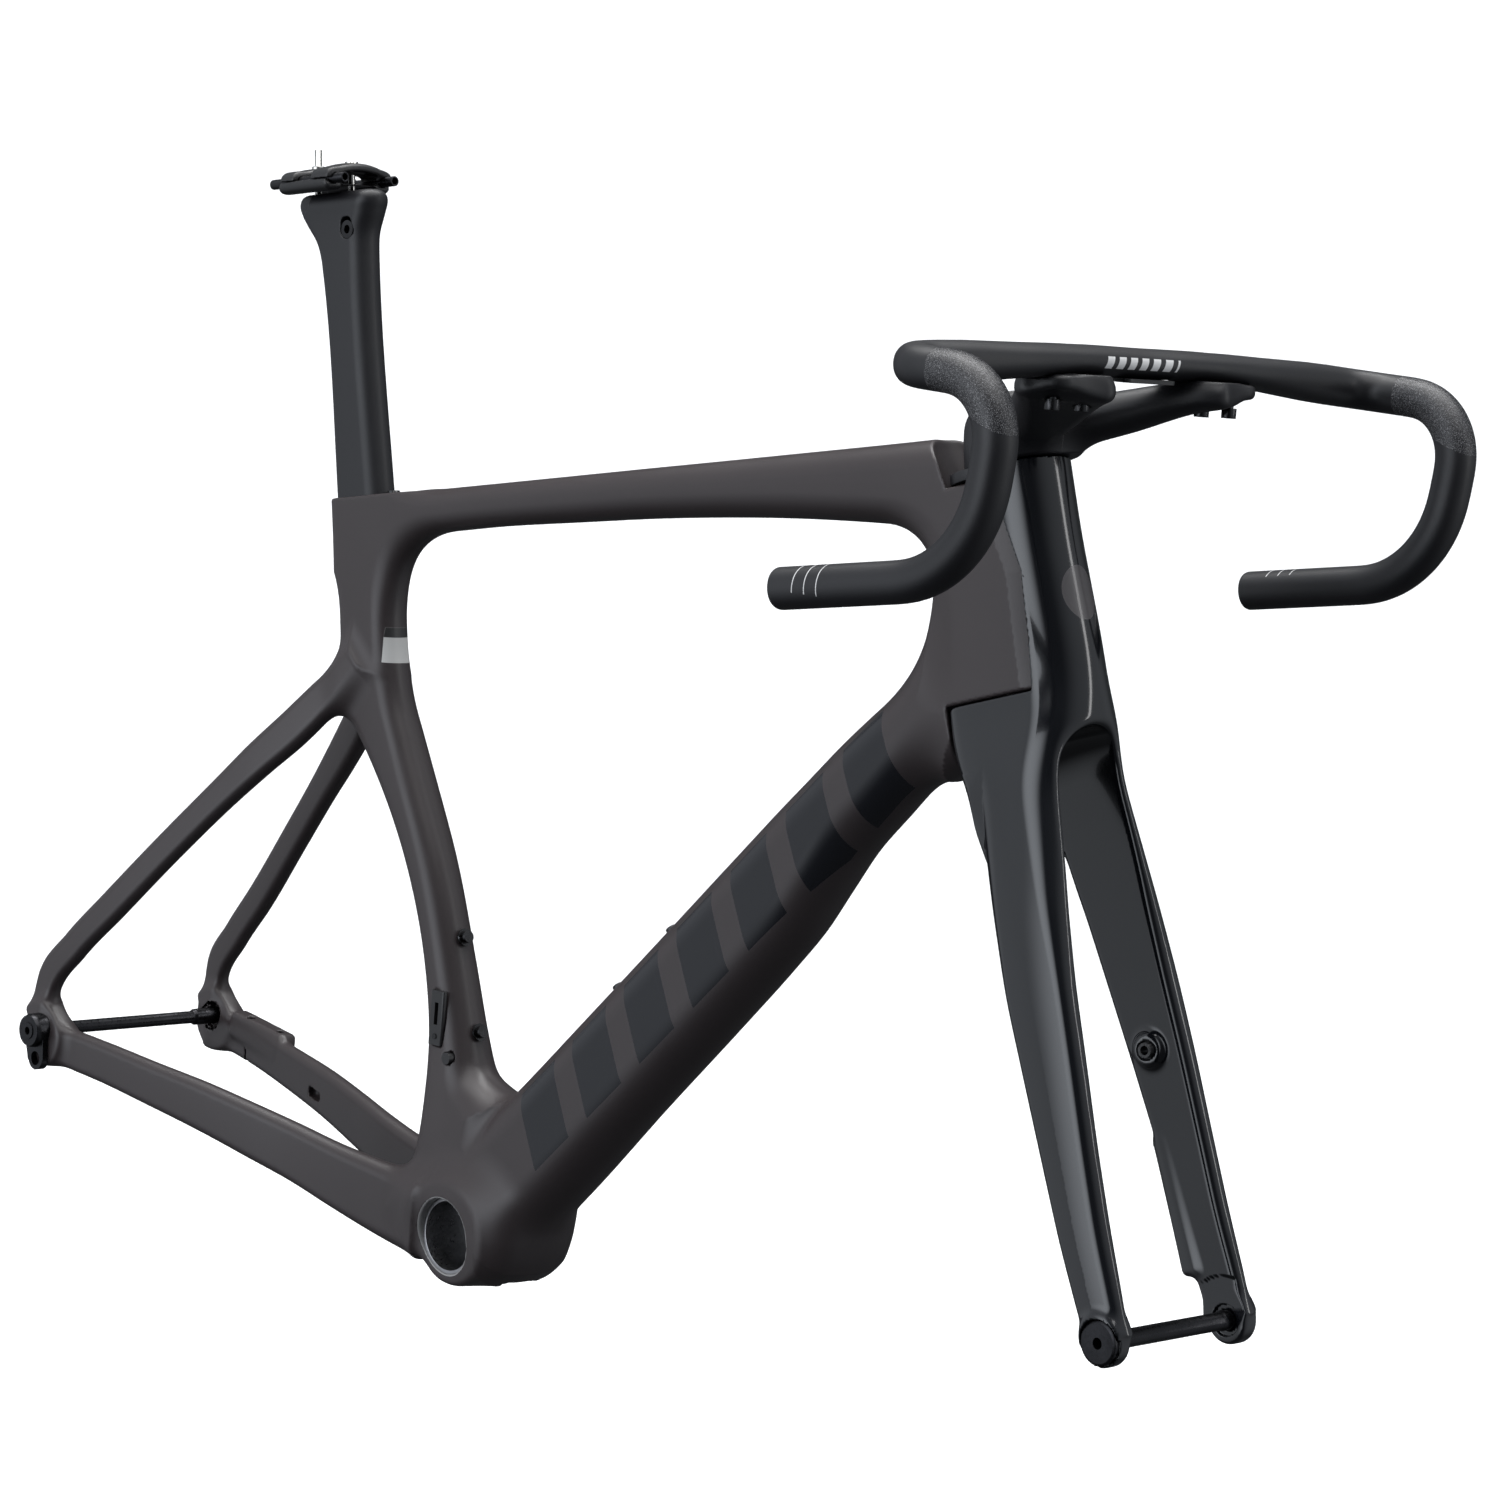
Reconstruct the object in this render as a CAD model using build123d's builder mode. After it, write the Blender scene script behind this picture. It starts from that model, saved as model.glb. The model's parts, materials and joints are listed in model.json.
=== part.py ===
"""Aero road bicycle frameset: frame, fork, V-shaped stem, drop handlebar, seatpost and thru-axles.

Millimetres. The origin is the centre of the bottom-bracket bore, +X points forward, +Y to the
rider's left (the drive side is -Y) and +Z up.
"""
from math import cos, radians, sin, sqrt
import os

from build123d import *

# ---------------------------------------------------------------- driving dimensions
bb_drop = 70.0               # axle line above the bottom bracket
chainstay_length = 405.0
front_centre = 589.0         # bottom bracket to front axle, along X
head_angle = 73.5
fork_offset = 45.0
seat_angle = 78.0            # slope of the seatpost's own line
post_line_x = -76.7          # where the seatpost's centre line crosses z = 0
wheel_clearance_radius = 345.0

bb_bore_radius = 23.0
bb_sleeve_wall = 2.5
bb_drive_face = -34.0        # 79 mm wide shell, offset to the left
bb_left_face = 45.0

rear_spacing = 142.0
front_spacing = 100.0
axle_radius = 6.0
axle_waist_radius = 4.6
running_gap = 0.05
wall = 2.0                   # moulded skin of the hollow tubes

post_depth = 48.0
post_width = 25.0
post_gap = 0.3
post_bottom_height = 405.0
post_top_height = 690.0
collar_height = 482.0        # top of the seat tube on the post's centre line

head_bottom = 375.5          # distances along the steering axis from the front axle's foot
head_top = 503.0
cover_top = 509.5
stem_bottom = 510.5
nose_radius_top = 28.0
nose_radius_bottom = 39.0
cover_gap = 1.2
crown_radius = 47.0
head_width = 54.0
head_rear = -43.0
cover_front_top = 47.0
cover_front_bottom = 53.0

bar_radius = 12.0
bar_height = 617.0
bar_half_width = 203.0
rail_radius = 3.5
rail_spacing = 44.0

# ---------------------------------------------------------------- directions and reference points
rear_axle_x = -sqrt(chainstay_length**2 - bb_drop**2)
steer_up = Vector(-cos(radians(head_angle)), 0, sin(radians(head_angle)))
steer_forward = Vector(sin(radians(head_angle)), 0, cos(radians(head_angle)))
front_axle = Vector(front_centre, 0, bb_drop)
steer_foot = front_axle - steer_forward * fork_offset
post_up = Vector(-cos(radians(seat_angle)), 0, sin(radians(seat_angle)))
post_forward = Vector(sin(radians(seat_angle)), 0, cos(radians(seat_angle)))
left = Vector(0, 1, 0)
down_tube_dir = Vector(1, 0, 1).normalized()
down_tube_below = Vector(1, 0, -1).normalized()
down_tube_top = Vector(-38.8, 0, 38.8)   # foot of the down tube's reference line


def steer_plane(along, forward=0.0, side=0.0):
    """Plane square to the steering axis: x forward, y left, z up the axis."""
    origin = steer_foot + steer_up * along + steer_forward * forward + left * side
    return Plane(origin=origin, x_dir=steer_forward, z_dir=steer_up)


def post_plane(height, forward=0.0):
    """Plane square to the seatpost, where its centre line reaches a height above the origin."""
    x = post_line_x - height / (sin(radians(seat_angle)) / cos(radians(seat_angle)))
    return Plane(origin=Vector(x, 0, height) + post_forward * forward, x_dir=post_forward, z_dir=post_up)


def side_plane(y):
    """Vertical plane at y, seen from the drive side: x forward, y up."""
    return Plane(origin=(0, y, 0), x_dir=(1, 0, 0), z_dir=(0, -1, 0))


def loft_sections(sections, skin=0.0):
    """Loft rounded sections (plane, depth, width, corner), each drawn in by the skin."""
    with BuildPart() as tube:
        for plane, depth, width, corner in sections:
            with BuildSketch(plane):
                RectangleRounded(depth - 2 * skin, width - 2 * skin, max(corner - skin, 1.0))
        loft()
    return tube.part


def seat_section(height, rear, front, width, corner):
    """Level section of the seat tube from its rear to its front edge."""
    plane = Plane(origin=((rear + front) / 2, 0, height), x_dir=(1, 0, 0), z_dir=(0, 0, 1))
    return plane, front - rear, width, corner


def top_section(x, top, bottom, width, corner):
    """Upright section of the top tube between its top and bottom edges."""
    plane = Plane(origin=(x, 0, (top + bottom) / 2), x_dir=(0, 0, 1), z_dir=(1, 0, 0))
    return plane, top - bottom, width, corner


def down_section(along, upper, lower, width, corner):
    """Section square to the down tube, between depths below its reference line."""
    centre = down_tube_top + down_tube_dir * along + down_tube_below * ((upper + lower) / 2)
    plane = Plane(origin=centre, x_dir=down_tube_below, z_dir=down_tube_dir)
    return plane, lower - upper, width, corner


def head_section(along, rear, front, width, corner):
    """Section square to the steering axis, from rear to front of it."""
    return steer_plane(along, (rear + front) / 2), front - rear, width, corner


def write(name, solid):
    """Label a finished piece and write its STEP file."""
    solid.label = name
    export_step(solid, f"parts/{name}.step")


def drilled(name, solid, *cutters):
    """Cut holes and pockets out of a piece and write it."""
    with BuildPart() as piece:
        add(solid)
        for cutter in cutters:
            add(cutter, mode=Mode.SUBTRACT)
    write(name, piece.part)
    return piece.part


def rod(start, end, radius, bore=0.0):
    """Round bar or tube between two points."""
    axis = Vector(*end) - Vector(*start)
    with BuildPart() as bar:
        with BuildSketch(Plane(origin=start, z_dir=axis)):
            Circle(radius)
            if bore:
                Circle(bore, mode=Mode.SUBTRACT)
        extrude(amount=axis.length)
    return bar.part


def block(low, high, corner=0.0):
    """Box between two opposite corners, its upright edges rounded."""
    size = Vector(*high) - Vector(*low)
    with BuildPart() as box:
        with BuildSketch(Plane(origin=((low[0] + high[0]) / 2, (low[1] + high[1]) / 2, low[2]))):
            if corner:
                RectangleRounded(size.X, size.Y, corner)
            else:
                Rectangle(size.X, size.Y)
        extrude(amount=size.Z)
    return box.part


os.makedirs("parts", exist_ok=True)

# ---------------------------------------------------------------- main triangle
collar_sections = [
    seat_section(500, -209.5, -156.5, 29, 13),
    seat_section(345, -176.5, -121.0, 30, 13),
]
seat_tube_sections = [
    seat_section(345, -176.5, -121.0, 30, 13),
    seat_section(318, -166.0, -104.5, 31.5, 13),
    seat_section(290, -150.0, -88.0, 33, 13),
    seat_section(241, -118.0, -63.0, 33, 13),
    seat_section(177, -90.0, -38.5, 33, 13),
    seat_section(107, -76.0, -14.0, 40, 14),
    seat_section(60, -76.0, 10.0, 54, 18),
    seat_section(5, -60.0, 25.0, 62, 20),
]
top_tube_sections = [
    top_section(-172, 477, 392, 27, 8),
    top_section(-140, 483, 421, 29, 10),
    top_section(-118, 487, 449, 31, 12),
    top_section(-90, 491, 464, 33, 12),
    top_section(-38, 499, 472, 35, 12),
    top_section(60, 514.5, 485, 38, 13),
    top_section(150, 528.5, 496, 42, 14),
    top_section(258, 545.5, 506, 48, 15),
    top_section(330, 557, 506, 52, 15),
    top_section(368, 563, 488, 53, 16),
    top_section(400, 568, 455, 53, 16),
]
down_tube_sections = [
    down_section(20, 2, 86, 60, 27),
    down_section(75, 5, 86, 59, 27),
    down_section(141, 6, 83.5, 57, 26),
    down_section(230, 6, 81.5, 55, 26),
    down_section(337, 6, 79, 54, 25),
    down_section(374, 6, 75, 54, 25),
    down_section(410, 6, 68, 54, 25),
    down_section(445, 6, 62.5, 54, 25),
    down_section(480, 5, 61.5, 54, 25),
    down_section(530, -2, 63, 54, 25),
    down_section(590, -12, 64, 54, 24),
]
head_tube_sections = [
    head_section(360, head_rear - 4, 48, head_width, 20),
    head_section(400, head_rear, 48, head_width, 20),
    head_section(450, head_rear, 48, head_width, 20),
    head_section(522, head_rear, 48, head_width - 2, 20),
]


def about_steer_axis(profile):
    """Revolve a closed (radius, along) outline about the steering axis."""
    plane = Plane(origin=steer_foot, x_dir=steer_forward, z_dir=-left)
    with BuildPart() as turned:
        with BuildSketch(plane):
            with BuildLine():
                Polyline(*profile, close=True)
            make_face()
        revolve(axis=Axis(steer_foot, steer_up))
    return turned.part


def turned_y(x, z, steps):
    """Turn a solid about the line through (x, z) along Y, from (y, radius) steps."""
    outline = [(steps[0][0], 0)] + list(steps) + [(steps[-1][0], 0)]
    with BuildPart() as turned:
        with BuildSketch(Plane(origin=(x, 0, z), x_dir=(0, 1, 0), z_dir=(1, 0, 0))):
            with BuildLine():
                Polyline(*outline, close=True)
            make_face()
        revolve(axis=Axis((x, 0, z), (0, 1, 0)))
    return turned.part


def tube_core(sections, start, end):
    """The hollow inside a lofted tube, between two planes that face into it."""
    with BuildPart() as core:
        add(loft_sections(sections, wall))
        split(bisect_by=start, keep=Keep.TOP)
        split(bisect_by=end, keep=Keep.TOP)
    return core.part


def keep_side(solid, plane, keep):
    """The part of a solid on one side of a plane."""
    with BuildPart() as kept:
        add(solid)
        split(bisect_by=plane, keep=keep)
    return kept.part


# Room for the fork: in front of the nose, below the head tube where the crown turns, and above it
# where the stem turns.
nose_profile = [
    (0, 340), (nose_radius_bottom, 340), (nose_radius_bottom, 445),
    (nose_radius_top + 3, 490), (nose_radius_top, 530), (0, 530),
]
cover_profile = [(radius + cover_gap if radius else 0, along) for radius, along in nose_profile]
with BuildPart() as nose_room:
    with BuildSketch(steer_plane(340)):
        with Locations((60, 0)):
            Rectangle(120, 140)
    extrude(amount=190)
    add(about_steer_axis(nose_profile), mode=Mode.SUBTRACT)
with BuildPart() as crown_room:
    with BuildSketch(steer_plane(300)):
        Circle(crown_radius + cover_gap)
    extrude(amount=head_bottom - 300)
stem_room = about_steer_axis([(0, head_top), (31.5, head_top), (36, 530), (39, 570), (0, 570)])

with BuildPart() as post_cavity:
    with BuildSketch(post_plane(352)):
        RectangleRounded(post_depth + 2 * post_gap, post_width + 2 * post_gap, 10.3)
    extrude(amount=200)

# ---------------------------------------------------------------- stays
seatstay_sections = [   # x, y, z, depth, width
    (-176, 13, 358, 30, 14),
    (-203, 20, 322, 38, 14),
    (-237, 29, 290, 24, 14),
    (-262, 35, 265, 20.5, 14),
    (-306, 47, 220, 20, 13),
    (-353, 60, 168, 20, 13),
    (-384, 68, 133, 20, 13),
    (-404, 75, 104, 23, 12),
    (-409, 77, 80, 24, 12),
]
chainstay_sections = [  # x, y, z, height, width
    (-400, 77, 57, 28, 12),
    (-340, 73, 50.5, 31, 13),
    (-290, 67, 45, 32, 14),
    (-240, 60, 40, 34.5, 15),
    (-196, 52, 34.5, 37, 15.5),
    (-157, 44.5, 29, 39, 16),
    (-118, 38, 23, 41.5, 17),
    (-74, 32, 16, 46, 20),
    (-40, 27, 10, 50, 24),
]
stay_down = Vector(-0.7, 0, -0.714).normalized()
stay_back = Vector(-0.714, 0, 0.7).normalized()


def stay(sections, side, plane_x, plane_z):
    """Sections of one stay on a side (+1 left, -1 right) from (x, y, z, depth, width) rows."""
    return [
        (Plane(origin=(x, side * y, z), x_dir=plane_x, z_dir=plane_z), depth, width, width / 2 - 0.6)
        for x, y, z, depth, width in sections
    ]


def facing_x(x, direction):
    """Upright plane at x, facing forward (+1) or back (-1)."""
    return Plane(origin=(x, 0, 0), z_dir=(direction, 0, 0))


with BuildPart() as frame_shell:
    add(loft_sections(collar_sections))
    add(loft_sections(seat_tube_sections))
    with BuildSketch(side_plane(30)):
        with BuildLine():
            Spline((-66, 40), (-44, -2), (0, -30), (34, -24), (58, -6), (63, 16), (50, 60))
            Line((50, 60), (-66, 40))
        make_face()
    extrude(amount=60)
    with BuildSketch(side_plane(0)):
        with Locations((rear_axle_x, bb_drop)):
            Circle(wheel_clearance_radius)
    extrude(amount=60, both=True, mode=Mode.SUBTRACT)
    add(loft_sections(down_tube_sections))
    add(loft_sections(top_tube_sections))
    add(loft_sections(head_tube_sections))
    # hollow tubes
    add(tube_core(down_tube_sections, Plane(origin=(0, 0, 46), z_dir=down_tube_dir),
                  Plane(origin=steer_plane(400, -40).origin, z_dir=-steer_forward)),
        mode=Mode.SUBTRACT)
    add(tube_core(top_tube_sections, facing_x(-112, 1), facing_x(362, -1)), mode=Mode.SUBTRACT)
    add(tube_core(seat_tube_sections, Plane(origin=(0, 0, 30), z_dir=(0, 0, 1)),
                  Plane(origin=(0, 0, 330), z_dir=(0, 0, -1))), mode=Mode.SUBTRACT)
    for side in (1, -1):
        seatstay = stay(seatstay_sections, side, stay_back, stay_down)
        chainstay = stay(chainstay_sections, side, Vector(0, 0, 1), Vector(-1, 0, 0))
        add(loft_sections(seatstay))
        add(loft_sections(chainstay))
        add(turned_y(rear_axle_x - 3, 66, [(side * rear_spacing / 2, 21),
                                           (side * (rear_spacing / 2 + 12), 20)]))
        add(tube_core(seatstay, facing_x(-210, -1), Plane(origin=(0, 0, 105), z_dir=(0, 0, 1))),
            mode=Mode.SUBTRACT)
        add(tube_core(chainstay, facing_x(-365, 1), facing_x(-60, -1)), mode=Mode.SUBTRACT)
    add(turned_y(0, 0, [(bb_drive_face, 29), (bb_drive_face + 2, 31), (bb_left_face - 2, 31),
                        (bb_left_face, 29)]))
    add(nose_room.part, mode=Mode.SUBTRACT)
    add(crown_room.part, mode=Mode.SUBTRACT)
    add(stem_room, mode=Mode.SUBTRACT)
    add(post_cavity.part, mode=Mode.SUBTRACT)
    with BuildSketch(side_plane(bb_drive_face - 1)):
        Circle(bb_bore_radius + bb_sleeve_wall)
    extrude(amount=-(bb_left_face - bb_drive_face + 2), mode=Mode.SUBTRACT)
    # top of the seat tube, level with the top tube's rise
    with BuildSketch(Plane.XZ):
        with Locations((-180, collar_height + 25)):
            Rectangle(90, 56)
    extrude(amount=40, both=True, mode=Mode.SUBTRACT)
    # bores through the two fork ends, and the ring pocket round the axle inside the left one
    add(turned_y(rear_axle_x, bb_drop, [(-90, axle_radius + running_gap), (90, axle_radius + running_gap)]),
        mode=Mode.SUBTRACT)
    add(turned_y(rear_axle_x, bb_drop, [(rear_spacing / 2 - 1, 10), (rear_spacing / 2 + 3, 10)]),
        mode=Mode.SUBTRACT)
    add(turned_y(rear_axle_x, bb_drop, [(rear_spacing / 2 + 9, 9), (rear_spacing / 2 + 14, 9)]),
        mode=Mode.SUBTRACT)

cluster_plane = Plane(origin=(0, 0, 92), z_dir=(0, 0, 1))
stay_plane = Plane(origin=post_plane(300, -30).origin, x_dir=left, z_dir=post_forward)
lug_plane = Plane(origin=(-118, 0, 480), x_dir=left, z_dir=Vector(1, 0, 0.33))
head_plane = Plane(origin=steer_plane(400, -46).origin, x_dir=left, z_dir=steer_forward)
chainstay_plane = Plane(origin=(-90, 0, 0), z_dir=(1, 0, 0))
dropout_plane = Plane(origin=(-372, 0, 0), z_dir=(1, 0, 0))

upper_frame = keep_side(frame_shell.part, cluster_plane, Keep.TOP)
lower_frame = keep_side(frame_shell.part, cluster_plane, Keep.BOTTOM)
seatstays = keep_side(upper_frame, stay_plane, Keep.BOTTOM)
triangle = keep_side(upper_frame, stay_plane, Keep.TOP)
front_tubes = keep_side(triangle, lug_plane, Keep.TOP)
chainstays = keep_side(lower_frame, chainstay_plane, Keep.BOTTOM)

tubes_behind_head = keep_side(front_tubes, head_plane, Keep.BOTTOM).solids().sort_by(Axis.Z)
down_tube, top_tube = tubes_behind_head[0], tubes_behind_head[-1]
seatstay_right, seatstay_left = seatstays.solids().sort_by(Axis.Y)
chainstay_right, chainstay_left = keep_side(chainstays, dropout_plane, Keep.TOP).solids().sort_by(Axis.Y)
dropout_right, dropout_left = keep_side(chainstays, dropout_plane, Keep.BOTTOM).solids().sort_by(Axis.Y)

# headset: outer rings in the head tube, each running on a race carried by the fork
lower_ring = (steer_plane(head_bottom), 23.5, 21.4, 8.0)
upper_ring = (steer_plane(head_top - 7.5), 21.0, 18.6, 7.0)


def ring(plane, outer, inner, height):
    """Flat ring standing on a plane."""
    with BuildPart() as washer:
        with BuildSketch(plane):
            Circle(outer)
            Circle(inner, mode=Mode.SUBTRACT)
        extrude(amount=height)
    return washer.part


def disc(plane, radius, height):
    """Plain disc standing on a plane."""
    with BuildPart() as solid:
        with BuildSketch(plane):
            Circle(radius)
        extrude(amount=height)
    return solid.part


head_pocket_back = -39.0
with BuildPart() as head_pocket:
    with BuildSketch(steer_plane(392)):
        with Locations((head_pocket_back + 9, 0)):
            RectangleRounded(18, 44, 8)
    extrude(amount=92)
drilled("head_tube", keep_side(front_tubes, head_plane, Keep.TOP),
        disc(steer_plane(head_bottom - 1), lower_ring[1], lower_ring[3] + 1),
        disc(steer_plane(head_bottom - 1), 18, 140),
        disc(upper_ring[0], upper_ring[1], 20), head_pocket.part)
write("headset_bearing_lower", ring(*lower_ring))
write("headset_bearing_upper", ring(*upper_ring))

# bottle-cage threads: sleeves let into the tubes, a screw in each
bottle_axes = []
for foot_x, foot_z in ((-44.0, 192.0), (-22.2, 131.0)):
    bottle_axes.append((Vector(foot_x, 0, foot_z), Vector(0.943, 0, 0.333).normalized()))
for along in (273.6, 209.6):
    bottle_axes.append((down_tube_top + down_tube_dir * along + down_tube_below * 6, -down_tube_below))


def bottle_rods(low, high, radius, bore=0.0):
    """The same round piece on each bottle thread, between two heights over the tube."""
    return [rod(foot + out * low, foot + out * high, radius, bore) for foot, out in bottle_axes]


bottle_holes = bottle_rods(-11, 3, 4.5)
sleeves = [drum + cap for drum, cap in zip(bottle_rods(-10, 0.5, 4.5, 2.5), bottle_rods(0.5, 1.7, 6, 2.5))]
screws = [shank + head for shank, head in zip(bottle_rods(-8, 1.7, 2.45), bottle_rods(1.7, 5.2, 4.2))]
write("bottle_thread_sleeves", Compound(children=sleeves))
write("bottle_screws", Compound(children=screws))

# front-derailleur mount cover and wiring-port plug, both on the drive side of the seat tube
cover_low, cover_high = (-50.5, -20.5, 120.0), (-37.0, -16.6, 157.0)
cover_pocket = block(cover_low, cover_high, 1.5)
cover_screw_hole = rod((-43.7, -22, 126), (-43.7, -8, 126), 2.0)
plug_start, plug_end = (-30, -21.2, 113.4), (-30, -14, 113.4)
drilled("derailleur_mount_cover", block((-50.4, -20.3, 120.1), (-37.1, -16.6, 156.9), 1.5),
        cover_screw_hole, block((-45.5, -23, 134), (-41.9, -15, 149), 1.5))
write("mount_cover_screw", rod((-43.7, -20.9, 126), (-43.7, -12, 126), 1.95))
write("wiring_port_plug", rod(plug_start, plug_end, 4.0))

# wedge clamp that holds the seatpost, hidden in the junction with the top tube
with BuildPart() as wedge_pocket:
    with BuildSketch(post_plane(440, 29.4)):
        Rectangle(11, 16)
    extrude(amount=44)
with BuildPart() as wedge:
    with BuildSketch(post_plane(446, 29.4)):
        Rectangle(9.2, 15.4)
    extrude(amount=26)
    with BuildSketch(post_plane(446, 29.4)):
        Circle(2.6)
    extrude(amount=26, mode=Mode.SUBTRACT)
write("seatpost_clamp_wedge", wedge.part)
clamp_bolt_plane = post_plane(437, 29.4)
write("seatpost_clamp_bolt", disc(clamp_bolt_plane, 2.5, 38) + disc(post_plane(473.5, 29.4), 4.2, 4))
drilled("seat_tube", keep_side(triangle, lug_plane, Keep.BOTTOM), *bottle_holes[:2], cover_pocket,
        cover_screw_hole, rod(plug_start, plug_end, 4.0), wedge_pocket.part,
        disc(post_plane(430, 29.4), 2.55, 30))
drilled("down_tube", down_tube, *bottle_holes[2:])
write("top_tube", top_tube)

# bottom bracket
write("bottom_bracket_sleeve", rod((0, bb_drive_face, 0), (0, bb_left_face, 0),
                                   bb_bore_radius + bb_sleeve_wall, bb_bore_radius))
under_tilt = radians(10)
under_plane = Plane(origin=(24, 0, -22.8), x_dir=(cos(under_tilt), 0, sin(under_tilt)),
                    z_dir=(sin(under_tilt), 0, -cos(under_tilt)))


def under_block(length, width):
    """Block that reaches through the shell's underside at the cable port."""
    with BuildPart() as port:
        with BuildSketch(under_plane):
            RectangleRounded(length, width, 5)
        extrude(amount=16)
    return port.part


with BuildPart() as under_cover:
    add(lower_frame)
    add(under_block(31.8, 29.8), mode=Mode.INTERSECT)
under_screw_hole = rod((15, 0, -33), (15, 0, -21.5), 2.0)
drilled("bottom_bracket_shell", keep_side(lower_frame, chainstay_plane, Keep.TOP), under_block(32, 30),
        under_screw_hole)
drilled("cable_port_cover", under_cover.part, under_screw_hole)
write("cable_port_screw", rod((15, 0, -28.8), (15, 0, -22), 1.95))

# rear triangle
write("seatstay_right", seatstay_right)
write("seatstay_left", seatstay_left)
write("chainstay_right", chainstay_right)
brake_hole_xs = (-353.0, -319.0)
brake_holes = [rod((x, 70, 30), (x, 70, 90), 2.75) for x in brake_hole_xs]
with BuildPart() as brake_chainstay:
    add(chainstay_left)
    with BuildSketch(side_plane(81)):
        with BuildLine():
            Polyline((-371.5, 60), (-371.5, 78), (-332, 76.5), (-304, 66), (-294, 59), (-340, 50), close=True)
        make_face()
    extrude(amount=19)
drilled("chainstay_left", brake_chainstay.part, *brake_holes)
write("dropout_left", dropout_left)
write("dropout_right", dropout_right)
hanger_boss = turned_y(rear_axle_x, bb_drop, [(-83.9, 12.5), (-94, 12), (-96.5, 11)])
hanger_hole = (-396.0, 50.0)
with BuildPart() as hanger:
    add(hanger_boss)
    with BuildSketch(side_plane(-85)):
        with BuildLine():
            Polyline((-410, 66), (-405, 48), (-396, 41.5), (-387, 50), (-388, 66), close=True)
        make_face()
        with Locations(hanger_hole):
            Circle(8.2)
    extrude(amount=6)
drilled("derailleur_hanger", hanger.part,
        turned_y(rear_axle_x, bb_drop, [(-100, axle_radius + running_gap), (-80, axle_radius + running_gap)]),
        rod((hanger_hole[0], -80, hanger_hole[1]), (hanger_hole[0], -95, hanger_hole[1]), 5.0))

# ---------------------------------------------------------------- fork
leg_down = Vector(0.3875, 0, -0.9219).normalized()
leg_forward = Vector(0.9219, 0, 0.3875).normalized()
leg_sections = [        # x, y, z, depth, width
    (459, 33, 382, 60, 20),
    (474, 36.5, 345, 56, 19),
    (490, 39.7, 300, 51, 18.5),
    (507.5, 42.9, 256, 46, 18),
    (526, 46, 212.6, 42, 17.5),
    (544.5, 49, 169, 37.5, 17),
    (563.5, 52.5, 125, 33, 16),
    (578.5, 55.5, 93, 31, 14.5),
    (587.5, 56.5, 74, 31, 13),
]
crown_sections = [
    head_section(374, -47, 53, 55, 25),
    head_section(359, -41, 53, 66, 26),
    head_section(342, -28, 51, 80, 26),
    head_section(322, -22, 48, 86, 24),
]
crown_split = steer_plane(328)

with BuildPart() as fork_shell:
    add(loft_sections(crown_sections))
    for side in (1, -1):
        add(loft_sections(stay(leg_sections, side, leg_forward, leg_down)))
        add(turned_y(front_axle.X, front_axle.Z, [(side * 50, 16.5), (side * 60.5, 16.5), (side * 63, 14.5)]))
    # arch over the tyre
    with BuildSketch(side_plane(24)):
        with Locations((front_axle.X, front_axle.Z)):
            Circle(352)
    extrude(amount=48, mode=Mode.SUBTRACT)
    # flat between the two legs' ends, bores and head seat
    add(turned_y(front_axle.X, front_axle.Z, [(-70, axle_radius + running_gap), (70, axle_radius + running_gap)]),
        mode=Mode.SUBTRACT)
    add(turned_y(front_axle.X, front_axle.Z, [(-70, 13.4), (-59, 13.4)]), mode=Mode.SUBTRACT)
crown_boss = disc(steer_plane(370), 14.9, 22)
hose_port = Vector(523, 42, 218)
port_dir = Vector(0.1, -1, 0.05).normalized()
fork_pad_top = Vector(526.5, 50, 161.5)
fork_brake_spacing = 70.0
fork_brake_pads = [fork_pad_top, fork_pad_top + leg_down * fork_brake_spacing + left * 4.5]
pad_back = -leg_forward


def leg_bolt(point, low, high, radius):
    """Round cutter or screw square to the back of the left leg."""
    return rod(point + pad_back * low, point + pad_back * high, radius)


fork_legs = keep_side(fork_shell.part, crown_split, Keep.BOTTOM)
leg_right, leg_left = fork_legs.solids().sort_by(Axis.Y)
with BuildPart() as crown:
    add(keep_side(fork_shell.part, crown_split, Keep.TOP))
    add(crown_boss)
drilled("fork_crown", crown.part, disc(steer_plane(300), 5.05, 120), disc(steer_plane(300), 8.5, 46))
write("fork_leg_right", leg_right)
with BuildPart() as brake_leg:
    add(leg_left)
    with BuildSketch(Plane(origin=fork_pad_top + leg_down * 35 + left * 2.2, x_dir=leg_down, z_dir=-pad_back)):
        RectangleRounded(94, 13, 6)
    extrude(amount=16)
drilled("fork_leg_left", brake_leg.part, *[leg_bolt(point, -12, 30, 2.9) for point in fork_brake_pads],
        rod(hose_port - port_dir * 6, hose_port + port_dir * 30, 4.5))
write("brake_thread_inserts", Compound(children=[
    rod(point + pad_back * -11.5, point + pad_back * 0.3, 2.9, 2.1)
    for point in fork_brake_pads]))
write("hose_port_grommet", rod(hose_port - port_dir * 5.5, hose_port + port_dir * 8, 4.5, 2.8))

with BuildPart() as cover:
    add(loft_sections([
        head_section(374, -20, cover_front_bottom, 56, 25),
        head_section(420, -20, 49.5, 55, 24),
        head_section(465, -20, 47.5, 54, 23.5),
        head_section(cover_top, -20, cover_front_top, 53, 23),
    ]))
    add(about_steer_axis(cover_profile), mode=Mode.SUBTRACT)
    with BuildSketch(steer_plane(360)):
        with Locations((-60, 0)):
            Rectangle(120, 140)
    extrude(amount=160, mode=Mode.SUBTRACT)
write("external_steerer", cover.part)

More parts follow.
